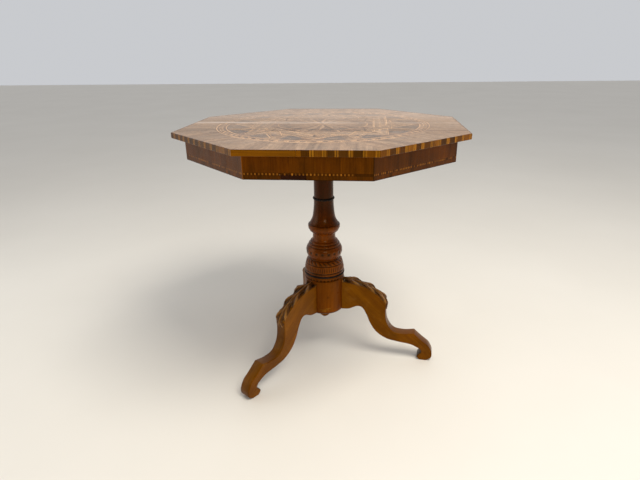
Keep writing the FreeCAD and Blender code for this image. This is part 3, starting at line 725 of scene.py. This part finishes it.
EDGE_COLOURS = {
    "dark": (0.28, 0.22, 0.30), "umber": (0.55, 0.45, 0.45), "tan": (0.85, 0.76, 0.7),
    "light": (1.45, 1.5, 2.2), "ink": (0.14, 0.12, 0.13), "repair": (0.95, 0.84, 0.35),
}
EDGE_DEPTH = 0.0025
EDGE_LIMIT = TOP_HALF * SLOPE


def edge_block(pieces, number, start, end, tint, seed, ends, vertical=True, arris=0.6):
    """A block of the edge banding, with a rounded, darkened upper arris. An end at a corner is mitred."""
    out, right = side_axes(number)
    height = TOP_Z - SLAB_Z
    profile = [(-EDGE_DEPTH, 0.0), (-0.0005, 0.0), (0.0, 0.0005), (0.0, height - 0.0013),
               (-0.0004, height - 0.0004), (-0.0013, height), (-EDGE_DEPTH, height)]
    points = []
    for place, mitred, sign in ((start, ends[0], -1), (end, ends[1], 1)):
        for depth, rise in profile:
            t = sign * (TOP_HALF + depth) * SLOPE if mitred else place
            points.append(out * (TOP_HALF + depth) + right * t + UP * (SLAB_Z + rise))
    faces = solid(len(profile), True)
    tints = [tint] * len(faces)
    # The arris is the fourth and fifth side, after the two ends
    tints[5:7] = [tuple(c * arris for c in tint)] * 2
    pieces.add(points, faces, tints, *((UP, right) if vertical else (right, UP)), seed)


def make_edge(number):
    """One side of the cross-banded edge. The front side starts after its plain repair."""
    pieces = Pieces(200 + number)
    rng = pieces.rng
    start = REPAIR_END if number == 1 else -EDGE_LIMIT
    first = number != 1
    while start < EDGE_LIMIT:
        run = [(rng.choice(["dark", "dark", "dark", "umber", "tan"]), rng.uniform(14.0, 19.0)),
               ("light", rng.uniform(3.0, 4.2)), ("ink", 1.4), ("light", rng.uniform(3.0, 4.2)),
               ("umber", rng.uniform(0.8, 4.0))]
        for kind, width in run:
            end = start + width * MM
            last = end >= EDGE_LIMIT - 0.5 * MM
            end = EDGE_LIMIT if last else end
            tint = varied(EDGE_COLOURS[kind], rng, 0.14)
            edge_block(pieces, number, start, end, tint, rng.uniform(0, 9), (first, last))
            first = False
            start = end
            if last:
                break
    pieces.build(f"edge_banding_{number}", EDGE_WOOD, "top", [f"edge_band_{number}"])


def make_repair():
    """The plain strip let into the left part of the front edge, of two lengths with a fine gap."""
    pieces = Pieces(31)
    joint, gap = -0.018, 0.0004
    for k, (start, end) in enumerate(((-EDGE_LIMIT, joint - gap), (joint, REPAIR_END))):
        tint = varied(EDGE_COLOURS["repair"], pieces.rng, 0.06)
        edge_block(pieces, 1, start, end, tint, 3.0 + k, (k == 0, False), vertical=False, arris=0.18)
    pieces.build("edge_repair_strip", EDGE_WOOD, "top", ["edge_repair"])


# Heights above the apron's lower edge
SILL = 0.0012
BAND_HEIGHT = 0.0098
DOT_ROW = (0.0105, 0.0150)
DOT_LINE = DOT_ROW[1] + 0.0008
# Height of the apron's top band, darkened as painted shadow under the top's overhang
OVERHANG_SHADOW_BAND = 0.0055
DOT = 0.0032
DOT_LINE_TINT = (0.30, 0.25, 0.25)
# The front's lost patch, its faded leaf and its faded dots, along the side
PATCH = (-0.058, -0.002)
PALE_LEAF = 0.065
FADED_DOTS = 0.098


def make_apron(number):
    """One side's veneer: upright leaves over a line of light squares and a cross-grained border."""
    pieces = Pieces(400 + number)
    rng = pieces.rng
    out, right = side_axes(number)
    limit = APRON_HALF * SLOPE
    height = SLAB_Z - APRON_Z
    front = number == 1

    def tile(t_low, t_high, z_low, z_high, tint, seed, vertical=True, proud=0.0):
        points = []
        for depth in (APRON_BACK, APRON_HALF - 0.0001 + proud):
            for t, z in ((t_low, z_low), (t_high, z_low), (t_high, z_high), (t_low, z_high)):
                mitre = depth * SLOPE
                points.append(out * depth + right * max(-mitre, min(mitre, t)) + UP * (APRON_Z + z))
        pieces.add(points, solid(4, True), tint, *((UP, right) if vertical else (right, UP)), seed)

    t = -limit
    while t < limit:
        width = rng.uniform(0.034, 0.062)
        end = limit if limit - t - width < 0.02 else t + width
        base = (1.3, 1.32, 1.2) if front and t + end > 2 * PALE_LEAF else (0.96, 0.91, 0.86)
        tint = varied(base, rng, 0.14)
        seed = rng.uniform(0, 9)
        tile(t, end, DOT_LINE, height - OVERHANG_SHADOW_BAND, tint, seed)
        # Painted shadow: the leaf's top band under the overhang is darkened to 0.4 of its tint
        tile(t, end, height - OVERHANG_SHADOW_BAND, height, tuple(c * 0.4 for c in tint), seed)
        t = end
    count = int(2 * limit / (0.0080 if front else 0.0052))
    pitch = 2 * limit / count
    half_dot = DOT / 2 if front else DOT * 0.62 / 2
    for k in range(count):
        centre = -limit + pitch * (k + 0.5)
        lost = front and PATCH[0] < centre < PATCH[1]
        gap_low = DOT_ROW[0] + (0.0022 if lost else 0.0)
        faded = front and centre > FADED_DOTS or rng.random() < (0.04 if front else 0.25)
        light = (0.45, 0.40, 0.40) if faded else (3.0, 4.0, 18.0)
        ground = varied((0.62, 0.55, 0.5), rng, 0.1)
        tile(centre - pitch / 2, centre - half_dot, gap_low, DOT_ROW[1], ground, k * 0.1)
        tile(centre - half_dot, centre + half_dot, *DOT_ROW, varied(light, rng, 0.15), k * 0.13)
        tile(centre + half_dot, centre + pitch / 2, gap_low, DOT_ROW[1], ground, k * 0.1)
    for sign, pale in ((-1, front), (1, number == SIDES)):
        t_low, t_high = sorted((sign * limit, sign * (limit - 0.0014)))
        tile(t_low, t_high, 0.0, height, (1.9, 2.2, 5.0) if pale else (0.30, 0.26, 0.3), 4.0, proud=0.00005)
    for low, high in ((-limit, PATCH[0]), (PATCH[1], limit)) if front else ((-limit, limit),):
        tile(low, high, BAND_HEIGHT, DOT_ROW[0], (0.25, 0.2, 0.2), 1.0, False)
        tile(low, high, DOT_ROW[1], DOT_LINE, DOT_LINE_TINT, 2.0, False)
        t = low
        while t < high:
            end = min(t + rng.uniform(0.008, 0.016), high)
            tile(t, end, SILL, BAND_HEIGHT, varied((0.80, 0.74, 0.62), rng, 0.22), rng.uniform(0, 9))
            t = end
        tile(low, high, 0.0, SILL, (0.16, 0.12, 0.12), 3.0, False)
    if front:
        tile(*PATCH, DOT_ROW[1], DOT_LINE, DOT_LINE_TINT, 2.0, False)
    pieces.build(f"apron_marquetry_{number}", APRON_WOOD, "top", [f"apron_veneer_{number}"])


def make_bare_patch():
    """The rough ground that shows where the front apron has lost its veneer."""
    pieces = Pieces(51)
    out, right = side_axes(1)
    rows, columns = 12, 44
    points = []
    for i in range(rows + 1):
        for j in range(columns + 1):
            t = PATCH[0] + (PATCH[1] - PATCH[0]) * j / columns
            z = (DOT_ROW[0] + 0.003) * i / rows
            rough = noise.noise(Vector((t * 140, z * 900, 0.3))) * 0.00022
            points.append(out * (APRON_BACK + 0.0003 + rough) + right * t + UP * (APRON_Z + z))
    corners = [i * (columns + 1) + j for i in range(rows) for j in range(columns)]
    faces = [[a, a + 1, a + columns + 2, a + columns + 1] for a in corners]
    pieces.add(points, faces, (1, 1, 1), right, UP, pieces.rng.uniform(0, 5))
    pieces.build("bare_ground_patch", GLUE_GROUND, "top", ())


# ---------------------------------------------------------------- turned work, in millimetres

COLUMN_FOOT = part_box("hub_ring")[1].z / MM
HUB_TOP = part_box("hub_ring")[0].z / MM
RING_LOW, RING_HIGH = (corner.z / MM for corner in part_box("upper_ring"))
BLOCK_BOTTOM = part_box("pivot_block")[0].z / MM
HUB_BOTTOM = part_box("hub")[0].z / MM
SHAFT_FOOT = 432.6

# Outlines from the bottom up, as (radius, height, how far the line on to the next point swells out)
COLUMN_OUTLINE = (
    (59.8, COLUMN_FOOT, 0), (59.8, 287.6, 0), (58.4, 288.2, 0), (58.4, 289.2, 0), (59.6, 289.8, 0.5),
    (56.2, 309.8, 0), (54.2, 310.6, 0), (54.2, 311.6, 0), (55.2, 312.2, 2.8), (46.2, 323.6, 0),
    (45.4, 324.4, 0), (45.4, 326.0, 1.9), (54.4, 348.0, 1.9), (48.6, 365.2, 0), (46.6, 366.3, 0),
    (47.0, 367.0, 1.6), (43.2, 373.0, 0), (41.8, 373.8, 0), (42.0, 374.6, 1.6), (37.6, 380.8, -0.9),
    (33.7, 391.0, -0.2), (34.2, 402.0, -0.8), (42.4, 411.6, 0), (42.2, 412.6, 2.6), (46.6, 431.2, 0),
    (44.4, SHAFT_FOOT, -1.1), (33.4, 454.3, -0.9), (28.9, 500.0, 0), (28.8, RING_LOW, 0),
    (28.4, RING_HIGH, 0), (28.0, BLOCK_BOTTOM, 0),
)
UPPER_RING_OUTLINE = ((28.3, RING_LOW, 0), (29.2, RING_LOW, 2.6), (29.2, RING_HIGH, 0), (28.3, RING_HIGH, 0))
HUB_RING_OUTLINE = ((50.0, HUB_TOP, 0), (60.0, HUB_TOP, 1.5), (60.0, COLUMN_FOOT, 0), (50.0, COLUMN_FOOT, 0))
HUB_OUTLINE = (
    (34.0, HUB_BOTTOM, 0), (52.0, HUB_BOTTOM, 2.2), (60.0, HUB_BOTTOM + 9.0, 0), (60.0, 261.6, 0.3),
    (59.0, 262.6, 0), (56.8, 263.4, -0.8), (56.8, 268.4, 0), (58.6, 268.6, 1.6), (58.6, HUB_TOP, 0),
)
PENDANT_OUTLINE = (
    (3.0, 117.0, 1.2), (11.5, 121.5, 1.0), (16.0, 128.5, -0.6), (14.0, 134.5, 0), (18.5, 136.0, 2.4),
    (18.5, 141.0, -2.6), (33.0, 149.0, 0), (34.0, HUB_BOTTOM, 0),
)
# Heights of the grooves cut in the column, darkened there as painted shade, and how dark they are
GROOVE_SHADE_LINES = (
    (288.7, 0.75), (311.1, 0.8), (324.6, 0.6), (366.3, 0.45), (373.8, 0.4), (412.0, 0.5), (SHAFT_FOOT, 0.6),
)
# A knot in the hub, as (degrees, height), and pale scuffs, as (from, to, height)
KNOT = (-75.0, 212.0)
SCUFFS = ((-101.0, -72.0, 170.5), (-82.0, -66.0, 175.0), (-94.0, -80.0, 166.5))


def arc_points(start, end, swell, steps=9):
    """Points from start towards end along an arc with that sagitta, leaving the end out."""
    a, b = Vector(start), Vector(end)
    chord = b - a
    if not swell:
        count = max(1, int(chord.length / 2.0))
        return [a.lerp(b, k / count) for k in range(count)]
    outward = Vector((chord.y, -chord.x)).normalized()
    radius = (chord.length ** 2 / 4 + swell ** 2) / (2 * swell)
    centre = (a + b) / 2 + outward * (swell - radius)
    first, last = a - centre, b - centre
    sweep = first.angle_signed(last)
    return [centre + Matrix.Rotation(-sweep * k / steps, 2) @ first for k in range(steps)]


def uncarved(angle, z):
    return 0.0


def turned(name, outline, look, stands_for, slot, segments, tint, carve=uncarved):
    """A turned piece, with carving that pushes its surface in.

    The tint is one colour, or a function of the height, the carving's depth and the angle."""
    profile = []
    for (r, z, swell), after in zip(outline, outline[1:]):
        profile += arc_points((r, z), after[:2], swell)
    profile.append(outline[-1][:2])
    tint_at = tint if callable(tint) else lambda z, cut, angle: tint
    pieces = Pieces()
    shades, grains = [], []
    for r, z in profile:
        for angle in round_angles(segments):
            cut = carve(angle, z)
            wobble = 1 + 0.003 * noise.noise(Vector((*polar(1.0, angle), z * 0.01)))
            pieces.points.append((*polar((r * wobble - cut) * MM, angle), z * MM))
            shades.append(tint_at(z, cut, angle))
            grains.append((z * MM, *polar(r * MM, angle)))
    last = len(profile) - 1
    for row in range(last):
        for wall in solid(segments)[2:]:
            face = [row * segments + v for v in wall]
            pieces.face(face, [shades[v] for v in face], [grains[v] for v in face], True)
    for row, order in ((0, -1), (last, 1)):
        ring = range(row * segments, (row + 1) * segments)[::order]
        grains = [(pieces.points[v][2], *pieces.points[v][:2]) for v in ring]
        pieces.face(list(ring), tint_at(profile[row][1], 0.0, 0.0), grains, False)
    pieces.build(name, look, "base", [stands_for])


def bump_between(value, low, high):
    """Rises from 0 at low to 1 in the middle and back to 0 at high."""
    return math.sin(math.pi * (value - low) / (high - low)) if low < value < high else 0.0


def notches(angle, count, width):
    """Evenly spaced notches round a turned piece: 1 at a notch's middle, 0 between them."""
    away = abs((angle * count / (2 * math.pi)) % 1.0 - 0.5) * 2
    return (1 - away / width) ** 0.7 if away < width else 0.0


def column_carving(angle, z):
    """Depth of the carving: short flutes, a gadrooned torus and a row of gouges round the bulb."""
    depth = 1.1 * bump_between(z, 292.5, 307.5) ** 0.5 * notches(angle, 54, 0.66)
    depth += 1.7 * bump_between(z, 312.6, 323.4) ** 0.6 * notches(angle + (z - 318) * 0.02, 24, 0.55)
    return depth + 2.0 * bump_between(z, 345.0, 354.0) ** 0.7 * notches(angle, 18, 0.56)


def column_tint(z, cut, angle):
    """Dark red above the black ring, browner down the baluster, with painted shade in grooves and carving and
    a painted highlight between the flutes and on the gadrooned torus.
    """
    if z > RING_HIGH:
        base = (0.24, 0.10, 0.3)
    elif z > SHAFT_FOOT:
        glow = max(0.0, min(1.0, (485.0 - z) / 45.0))
        base = (0.32 + 0.40 * glow, 0.17 + 0.50 * glow, 0.3)
    else:
        base = (1.12, 1.06, 0.75) if z > 326.0 else (1.2, 1.26, 0.8)
    # Painted shade: the deeper the carving, the darker
    shade = 1.0 - min(0.85, cut * 0.72)
    # Painted highlight: lighter between the flutes and all over the gadrooned torus
    if cut == 0.0 and 291.0 < z < 309.0 or 313.0 < z < 323.0:
        shade *= 1.4
    # Painted shade in the grooves
    for line, strength in GROOVE_SHADE_LINES:
        if abs(z - line) < 1.1:
            shade *= 1 - strength
    return tuple(c * shade for c in base)


def hub_carving(angle, z):
    return 1.7 * bump_between(z, 262.6, 269.4) ** 0.6 * notches(angle, 32, 0.62)


def hub_tint(z, cut, angle):
    """Redder than the legs, with painted shade in its notches and on its rounded lower edge, a small knot and
    a few pale scuffs at the front.
    """
    # Painted shade: the deeper the notch, the darker
    shade = 1.0 - min(0.85, cut * 0.75)
    # Painted shade on the rounded lower edge, which turns under the hub
    if z < HUB_BOTTOM + 7:
        shade *= 0.5
    elif z < HUB_BOTTOM + 16:
        shade *= 1.12
    degrees = (math.degrees(angle) + 180) % 360 - 180
    shade *= 1 + 0.16 * noise.noise(Vector((degrees * 0.22, z * 0.012, 4.0)))
    shade *= 1 - 0.75 * math.exp(-(((degrees - KNOT[0]) / 2.4) ** 2 + ((z - KNOT[1]) / 3.0) ** 2))
    if any(low < degrees < high and abs(z - level) < 1.1 for low, high, level in SCUFFS):
        return shade * 1.45, shade * 1.9, shade * 22.0
    return shade * 0.90, shade * 0.66, shade * 0.6


TURNED_PIECES = (
    ("turned_column", COLUMN_OUTLINE, COLUMN_WOOD, "column", "column_walnut", 324, column_tint,
     column_carving),
    ("shaft_ring", UPPER_RING_OUTLINE, EBONY, "upper_ring", "ebonised", 120, (1.0, 1.0, 1.0)),
    ("base_ring", HUB_RING_OUTLINE, EBONY, "hub_ring", "ebonised", 168, (1.0, 1.0, 1.0)),
    ("leg_hub", HUB_OUTLINE, LEG_WOOD, "hub", "leg_cherry", 240, hub_tint, hub_carving),
    ("drop_finial", PENDANT_OUTLINE, LEG_WOOD, "pendant", "leg_cherry", 96, (1.0, 0.95, 0.85)),
)


# ---------------------------------------------------------------- legs, in millimetres

LEG_ROOT = 56.5
# A leg's sawn outline as (reach, height), anticlockwise: underside, foot's notch, sole, toe, shin and top
LEG_STRETCHES = (
    ((LEG_ROOT, 156.0), (80, 158.5), (106, 170), (120, 167), (134, 145), (147, 114), (168, 84), (199, 64.5),
     (234, 57), (276, 51), (302, 39)),
    ((302, 39), (308, 28), (302, 21), (296, 10), (304, 0)),
    ((304, 0), (325, 0)),
    ((325, 0), (338.5, 9), (341, 26), (330, 50), (308, 68.5), (283, 90.5)),
    ((283, 90.5), (250, 86), (220, 91), (200, 117), (193.5, 150), (195, 187)),
    ((195, 187), (179, 204), (161, 218.5), (143, 231), (118, 241), (88, 247), (LEG_ROOT, 250.5)),
)
# How far the leg's faces are inset, and how far they lie within its thickness, as its edges round off
ROUNDING = ((0.0, 2.2), (0.25, 1.2), (0.9, 0.4), (2.0, 0.0))

# The carved leaf's crest and the line it springs from, along the knee
CROWN = (
    (58, 262), (83, 258), (109, 251), (131, 243), (157, 233), (178, 216), (196, 196), (200, 180), (197, 166),
)
CROWN_FOOT = (
    (58, 250), (88, 246), (118, 240), (143, 230), (160, 217), (177, 203), (191, 188), (194, 178), (194, 166),
)
LOBES = 3.9
LEAF_TONES = ((0.012, 0.004, 0.001), (0.088, 0.030, 0.004), (0.27, 0.125, 0.026))


def leg_axes(angle, *directions):
    """The turn from (reach, sideways, height) in millimetres to the frame, and directions turned by it."""
    to_frame = Matrix.Rotation(math.radians(angle), 4, "Z") @ Matrix.Scale(MM, 4)
    return to_frame, *(to_frame.to_3x3() @ Vector(d) for d in directions)


def leg_outline():
    run = []
    for stretch in LEG_STRETCHES:
        run += smooth_through(stretch, 8)[:-1] if len(stretch) > 2 else [Vector((*stretch[0], 0))]
    return run + [Vector((*LEG_STRETCHES[-1][-1], 0))]


def inset(outline, distance):
    """An outline moved inwards by a distance, along the bisector at each point."""
    moved = []
    for before, p, after in zip(outline[-1:] + outline, outline, outline[1:] + outline[:1]):
        along = ((p - before).normalized() + (after - p).normalized()).normalized()
        moved.append(p + Vector((-along.y, along.x, 0)) * distance)
    return moved


def make_leg(name, angle):
    """The sawn and rounded leg."""
    to_frame, grain, across = leg_axes(angle, (0.75, 0, -0.66), (0, 1, 0))
    outline = leg_outline()
    n = len(outline)
    levels = [(distance, HALF_LEG - drop) for distance, drop in ROUNDING[::-1]]
    levels += [(distance, -HALF_LEG + drop) for distance, drop in ROUNDING]
    points = [to_frame @ Vector((p.x, y, p.y)) for distance, y in levels for p in inset(outline, distance)]
    faces, shades = [], []
    for row in range(len(levels) - 1):
        for p, wall in zip(outline, solid(n)[2:]):
            # Painted shade: the foot's notch is darkest, and the narrow sawn face is darker than its rounded
            # edges
            in_notch = 290 < p.x < 309 and 5 < p.y < 40
            shade = 0.2 if in_notch else (0.66 if row == len(ROUNDING) - 1 else 0.8)
            faces.append([row * n + v for v in wall])
            shades.append((shade, shade * 0.97, shade * 0.9))
    pieces = Pieces()
    pieces.add(points, faces, shades, grain, across, angle * 0.01, smooth=True)
    caps = [list(range(n))[::-1], list(range(len(points) - n, len(points)))]
    pieces.add(points, caps, (1.02, 1.0, 0.9), grain, across, angle * 0.01)
    pieces.build(f"{name}_sawn", LEG_WOOD, "base", [name])


def hump(value, middle, width):
    """1 at the middle, falling off on both sides as a bell curve."""
    return math.exp(-(((value - middle) / width) ** 2))


def lobe_crest(t, v):
    """How near a point of the leaf is to the tip of its lobe, where each lobe overlaps the next."""
    u = (t ** 0.9 * LOBES - 0.55 * abs(v) + (0.10 if v > 0 else 0.0) + 0.30) % 1.0
    return ease(u, 0.10, 0.72) * (1 - ease(u, 0.80, 0.97)), u


def leaf_relief(t, v):
    """Height of the leaf's carving above its ground, from 0 to 1, and its tone from dark to pale: paler on
    crests and rib, darker in scoops, grooves and veins, partly wear and partly painted highlight and painted
    shade.
    """
    side = abs(v)
    crest, u = lobe_crest(t, v)
    rib = hump(side, 0.0, 0.13)
    groove = hump(side, 0.30, 0.07) * (1 - 0.6 * crest)
    scoop = hump(min(abs(u - 0.12), abs(u - 1.12)), 0.0, 0.16) * hump(side, 0.74, 0.20)
    vein = hump(u, 0.52, 0.05) * ease(side, 0.3, 0.7)
    height = 0.60 * (1 - 0.35 * side * side) + crest * (0.08 + 0.38 * side)
    height += 0.20 * rib - 0.24 * groove - 0.62 * scoop - 0.14 * vein
    # Tone: painted highlight with wear on crests and rib, painted shade in scoops, grooves and veins
    tone = 0.42 + 0.62 * crest ** 3 * (0.35 + 0.65 * side)
    tone += 0.30 * rib - 1.1 * scoop - 0.42 * groove - 0.3 * vein
    tone += 0.22 * noise.noise(Vector((t * 22, v * 5, 2.0)))
    return max(0.02, height), max(0.0, min(1.0, tone))


def leaf_colour(tone):
    low, high = LEAF_TONES[:2] if tone < 0.5 else LEAF_TONES[1:]
    part = tone * 2 if tone < 0.5 else tone * 2 - 1
    return tuple(a + (b - a) * part for a, b in zip(low, high))


def make_leaf(name, angle):
    """The carved leaf over the knee: a midrib and overlapping lobes that curl out over the leg's sides."""
    to_frame, grain, across = leg_axes(angle, (0.8, 0, -0.6), (0, 1, 0))
    crown, foot = smooth_through(CROWN, 16), smooth_through(CROWN_FOOT, 16)
    rows, columns = len(crown), 44
    width = columns + 1
    upper, lower, tints = [], [], []
    for i, (c, f) in enumerate(zip(crown, foot)):
        t = i / (rows - 1)
        narrow = 1.0 - 0.45 * ease(t, 0.84, 1.0)
        base = f - (c - f).normalized() * 5.5
        for j in range(width):
            v = -1 + 2 * j / columns
            edge, _ = lobe_crest(t, 1.0 if v > 0 else -1.0)
            half = (HALF_LEG - 0.6 + (3.6 - 1.8 * t) * edge) * narrow
            height, tone = leaf_relief(t, v)
            fall = ease(abs(v), 0.88, 1.0)
            p = f + (c - f) * (height * (1 - fall) + (0.02 + 0.42 * edge) * fall)
            jitter = 0.35 * noise.noise(Vector((t * 30, v * 6, angle)))
            upper.append(to_frame @ Vector((p.x, v * half, p.y + jitter)))
            lower.append(to_frame @ Vector((base.x, v * min(half, HALF_LEG - 2.5), base.y)))
            # Painted shade along the leaf's sides where they meet the leg, except at the lobes' tips
            tints.append(leaf_colour(tone * (1 - 0.6 * ease(abs(v), 0.93, 1.0) * (1 - edge))))
    count = len(upper)
    tints += [LEAF_TONES[0]] * count
    faces = []
    for a in (i * width + j for i in range(rows - 1) for j in range(columns)):
        face = [a, a + width, a + width + 1, a + 1]
        faces += [face, [count + k for k in face[::-1]]]
    border = [*range(columns), *range(columns, count - 1, width), *range(count - 1, count - width, -1),
              *range(count - width, 0, -width)]
    faces += [[a, b, count + b, count + a] for a, b in zip(border, border[1:] + border[:1])]
    pieces = Pieces()
    shades = [[tints[k] for k in face] for face in faces]
    pieces.add(upper + lower, faces, shades, grain, across, angle * 0.01, smooth=True)
    pieces.build(f"{name}_leaf", LEAF_WOOD, "base", ())


# ---------------------------------------------------------------- catch spring

SPRING_FOLDS = 6
STEPS_PER_FOLD = 12
STRIP = 0.00035


def make_spring():
    """The folded brass strip behind the catch's bolt, built at one length with a mesh of its own."""
    low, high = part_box("catch_spring")
    middle = (low.z + high.z) / 2
    reach = (high.z - low.z) / 2 - 2 * STRIP
    start, end = low.y + 0.0002, high.y - 0.0001
    steps = SPRING_FOLDS * STEPS_PER_FOLD
    rows = []
    for k in range(steps + 1):
        swing = max(-1.0, min(1.0, -1.25 * math.cos(math.pi * k / STEPS_PER_FOLD)))
        rows.append(Vector((start + (end - start) * k / steps, middle + reach * swing)))
    points = []
    for k, (y, z) in enumerate(rows):
        slope = (rows[min(steps, k + 1)] - rows[max(0, k - 1)]).normalized()
        side = Vector((-slope.y, slope.x)) * STRIP
        for x, sign in ((low.x, -1), (high.x, -1), (high.x, 1), (low.x, 1)):
            points.append((x, min(end, max(start, y + side.x * sign)), z + side.y * sign))
    faces = [[4 * k + v for v in wall] for k in range(steps) for wall in solid(4)[2:]]
    faces += [[3, 2, 1, 0], [4 * steps + j for j in range(4)]]
    pieces = Pieces()
    pieces.add(points, faces, (1, 1, 1), (0, 1, 0), (1, 0, 0))
    spring = pieces.build("folded_spring", BRASS, "top", ["catch_spring"])
    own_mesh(spring)


# ---------------------------------------------------------------- hidden parts keep their CAD shape

def paint(look, *names):
    for name in names:
        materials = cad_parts[name].data.materials
        materials.clear()
        materials.append(look.material)


def paint_hidden():
    along_x, along_y, along_z = (0.0, 0.0, 0.0), (0.0, 0.0, -QUARTER), (0.0, QUARTER, 0.0)
    paint(bare("core_boards", along_x), *(f"core_board_{k}" for k in range(1, 6)))
    paint(bare("bearer_beech", along_y, (0.36, 0.21, 0.10), (0.52, 0.34, 0.19)),
          "bearer_left", "bearer_right")
    paint(bare("block_beech", along_x, (0.34, 0.19, 0.09), (0.50, 0.32, 0.17)), "pivot_block", "tenon_wedge")
    paint(bare("glue_blocks", along_z), "corner_blocks")
    for k in range(1, SIDES + 1):
        turn = (0.0, 0.0, -EIGHTH * (k - 1))
        paint(bare(f"apron_pine_{k}", turn, (0.34, 0.21, 0.10), (0.54, 0.37, 0.20)), f"apron_board_{k}")
    paint(BRASS, "catch_plate", "catch_cover", "catch_screws", "catch_bolt", "catch_knob", "keeper_plate",
          "keeper_screws")
    paint(IRON, "bearer_screws", "pivot_pins")


# ---------------------------------------------------------------- room

FLOOR_HALF = 14.0
# Lamps, as (name, place, target, size, power, colour)
LAMPS = (
    ("key", (1.1, -0.9, 2.9), (0, 0, 0.6), (1.5, 1.2), 91.0, (1.0, 0.965, 0.90)),
    ("fill", (0.7, -2.6, 1.5), (0, 0, 0.4), (0.8, 0.5), 11.0, (1.0, 0.95, 0.87)),
    ("side", (-2.3, -0.5, 0.9), (0, 0, 0.5), (1.6, 1.4), 11.0, (0.93, 0.96, 1.0)),
)
CAMERA_AT = (0.1362, -1.3290, 0.9059)
CAMERA_AHEAD = (-0.1113, 0.9938)
CAMERA_PITCH = 21.60
CAMERA_ROLL = 0.84
CAMERA_LENS = 26.80


def make_floor():
    mesh = bpy.data.meshes.new("floor")
    corners = [(x * FLOOR_HALF, y * FLOOR_HALF, 0) for x, y in ((-1, -1), (1, -1), (1, 1), (-1, 1))]
    mesh.from_pydata(corners, [], [[0, 1, 2, 3]])
    mesh.materials.append(pale_floor().material)
    floor = add_object("floor", mesh)


def make_light():
    """A soft room: pale behind the table and overhead and dim in front, with a strong lamp and two weak."""
    world = bpy.data.worlds.new("studio")
    nodes = Nodes(world)
    behind = nodes.spread(nodes.axis(1, "Generated"), -0.3, 0.7, 0.15, 0.62, interpolation_type="SMOOTHSTEP")
    above = nodes.spread(nodes.axis(2, "Generated"), 0.15, 1.0, 0.0, 0.45, interpolation_type="SMOOTHSTEP")
    background = nodes.tree.nodes["Background"].inputs
    nodes.feed(background["Strength"], nodes.maths("ADD", behind, above))
    nodes.feed(background["Color"], (0.94, 0.96, 1.0))
    bpy.context.scene.world = world
    for name, place, target, size, power, colour in LAMPS:
        light = bpy.data.lights.new(name, "AREA")
        light.shape = "RECTANGLE"
        light.size, light.size_y = size
        light.energy = power
        light.color = colour
        lamp = add_object(name, light)
        lamp.location = place
        lamp.rotation_euler = (Vector(target) - Vector(place)).to_track_quat("-Z", "Y").to_euler()


def make_camera():
    """The camera stands in front of the table and a little to its right, and looks down at it."""
    pitch, roll = math.radians(CAMERA_PITCH), math.radians(CAMERA_ROLL)
    level = Vector((*CAMERA_AHEAD, 0)).normalized()
    ahead = level * math.cos(pitch) - UP * math.sin(pitch)
    right = level.cross(UP).normalized()
    rolled_right = right * math.cos(roll) - right.cross(ahead) * math.sin(roll)
    camera = bpy.data.cameras.new("camera")
    camera.lens = CAMERA_LENS
    camera.clip_start, camera.clip_end = 0.05, 60.0
    holder = add_object("camera", camera)
    axes = Matrix((rolled_right, rolled_right.cross(ahead), -ahead)).transposed().to_4x4()
    holder.matrix_world = Matrix.Translation(CAMERA_AT) @ axes
    bpy.context.scene.camera = holder


make_border()
make_ring()
make_field()
make_star()
for side_number in range(1, SIDES + 1):
    make_edge(side_number)
    make_apron(side_number)
make_repair()
make_bare_patch()
for turned_piece in TURNED_PIECES:
    turned(*turned_piece)
for leg_name, leg_angle in LEG_ANGLES.items():
    make_leg(leg_name, leg_angle)
    make_leaf(leg_name, leg_angle)
make_spring()
paint_hidden()
make_floor()
make_light()
make_camera()
bpy.context.scene.view_settings.view_transform = "Standard"
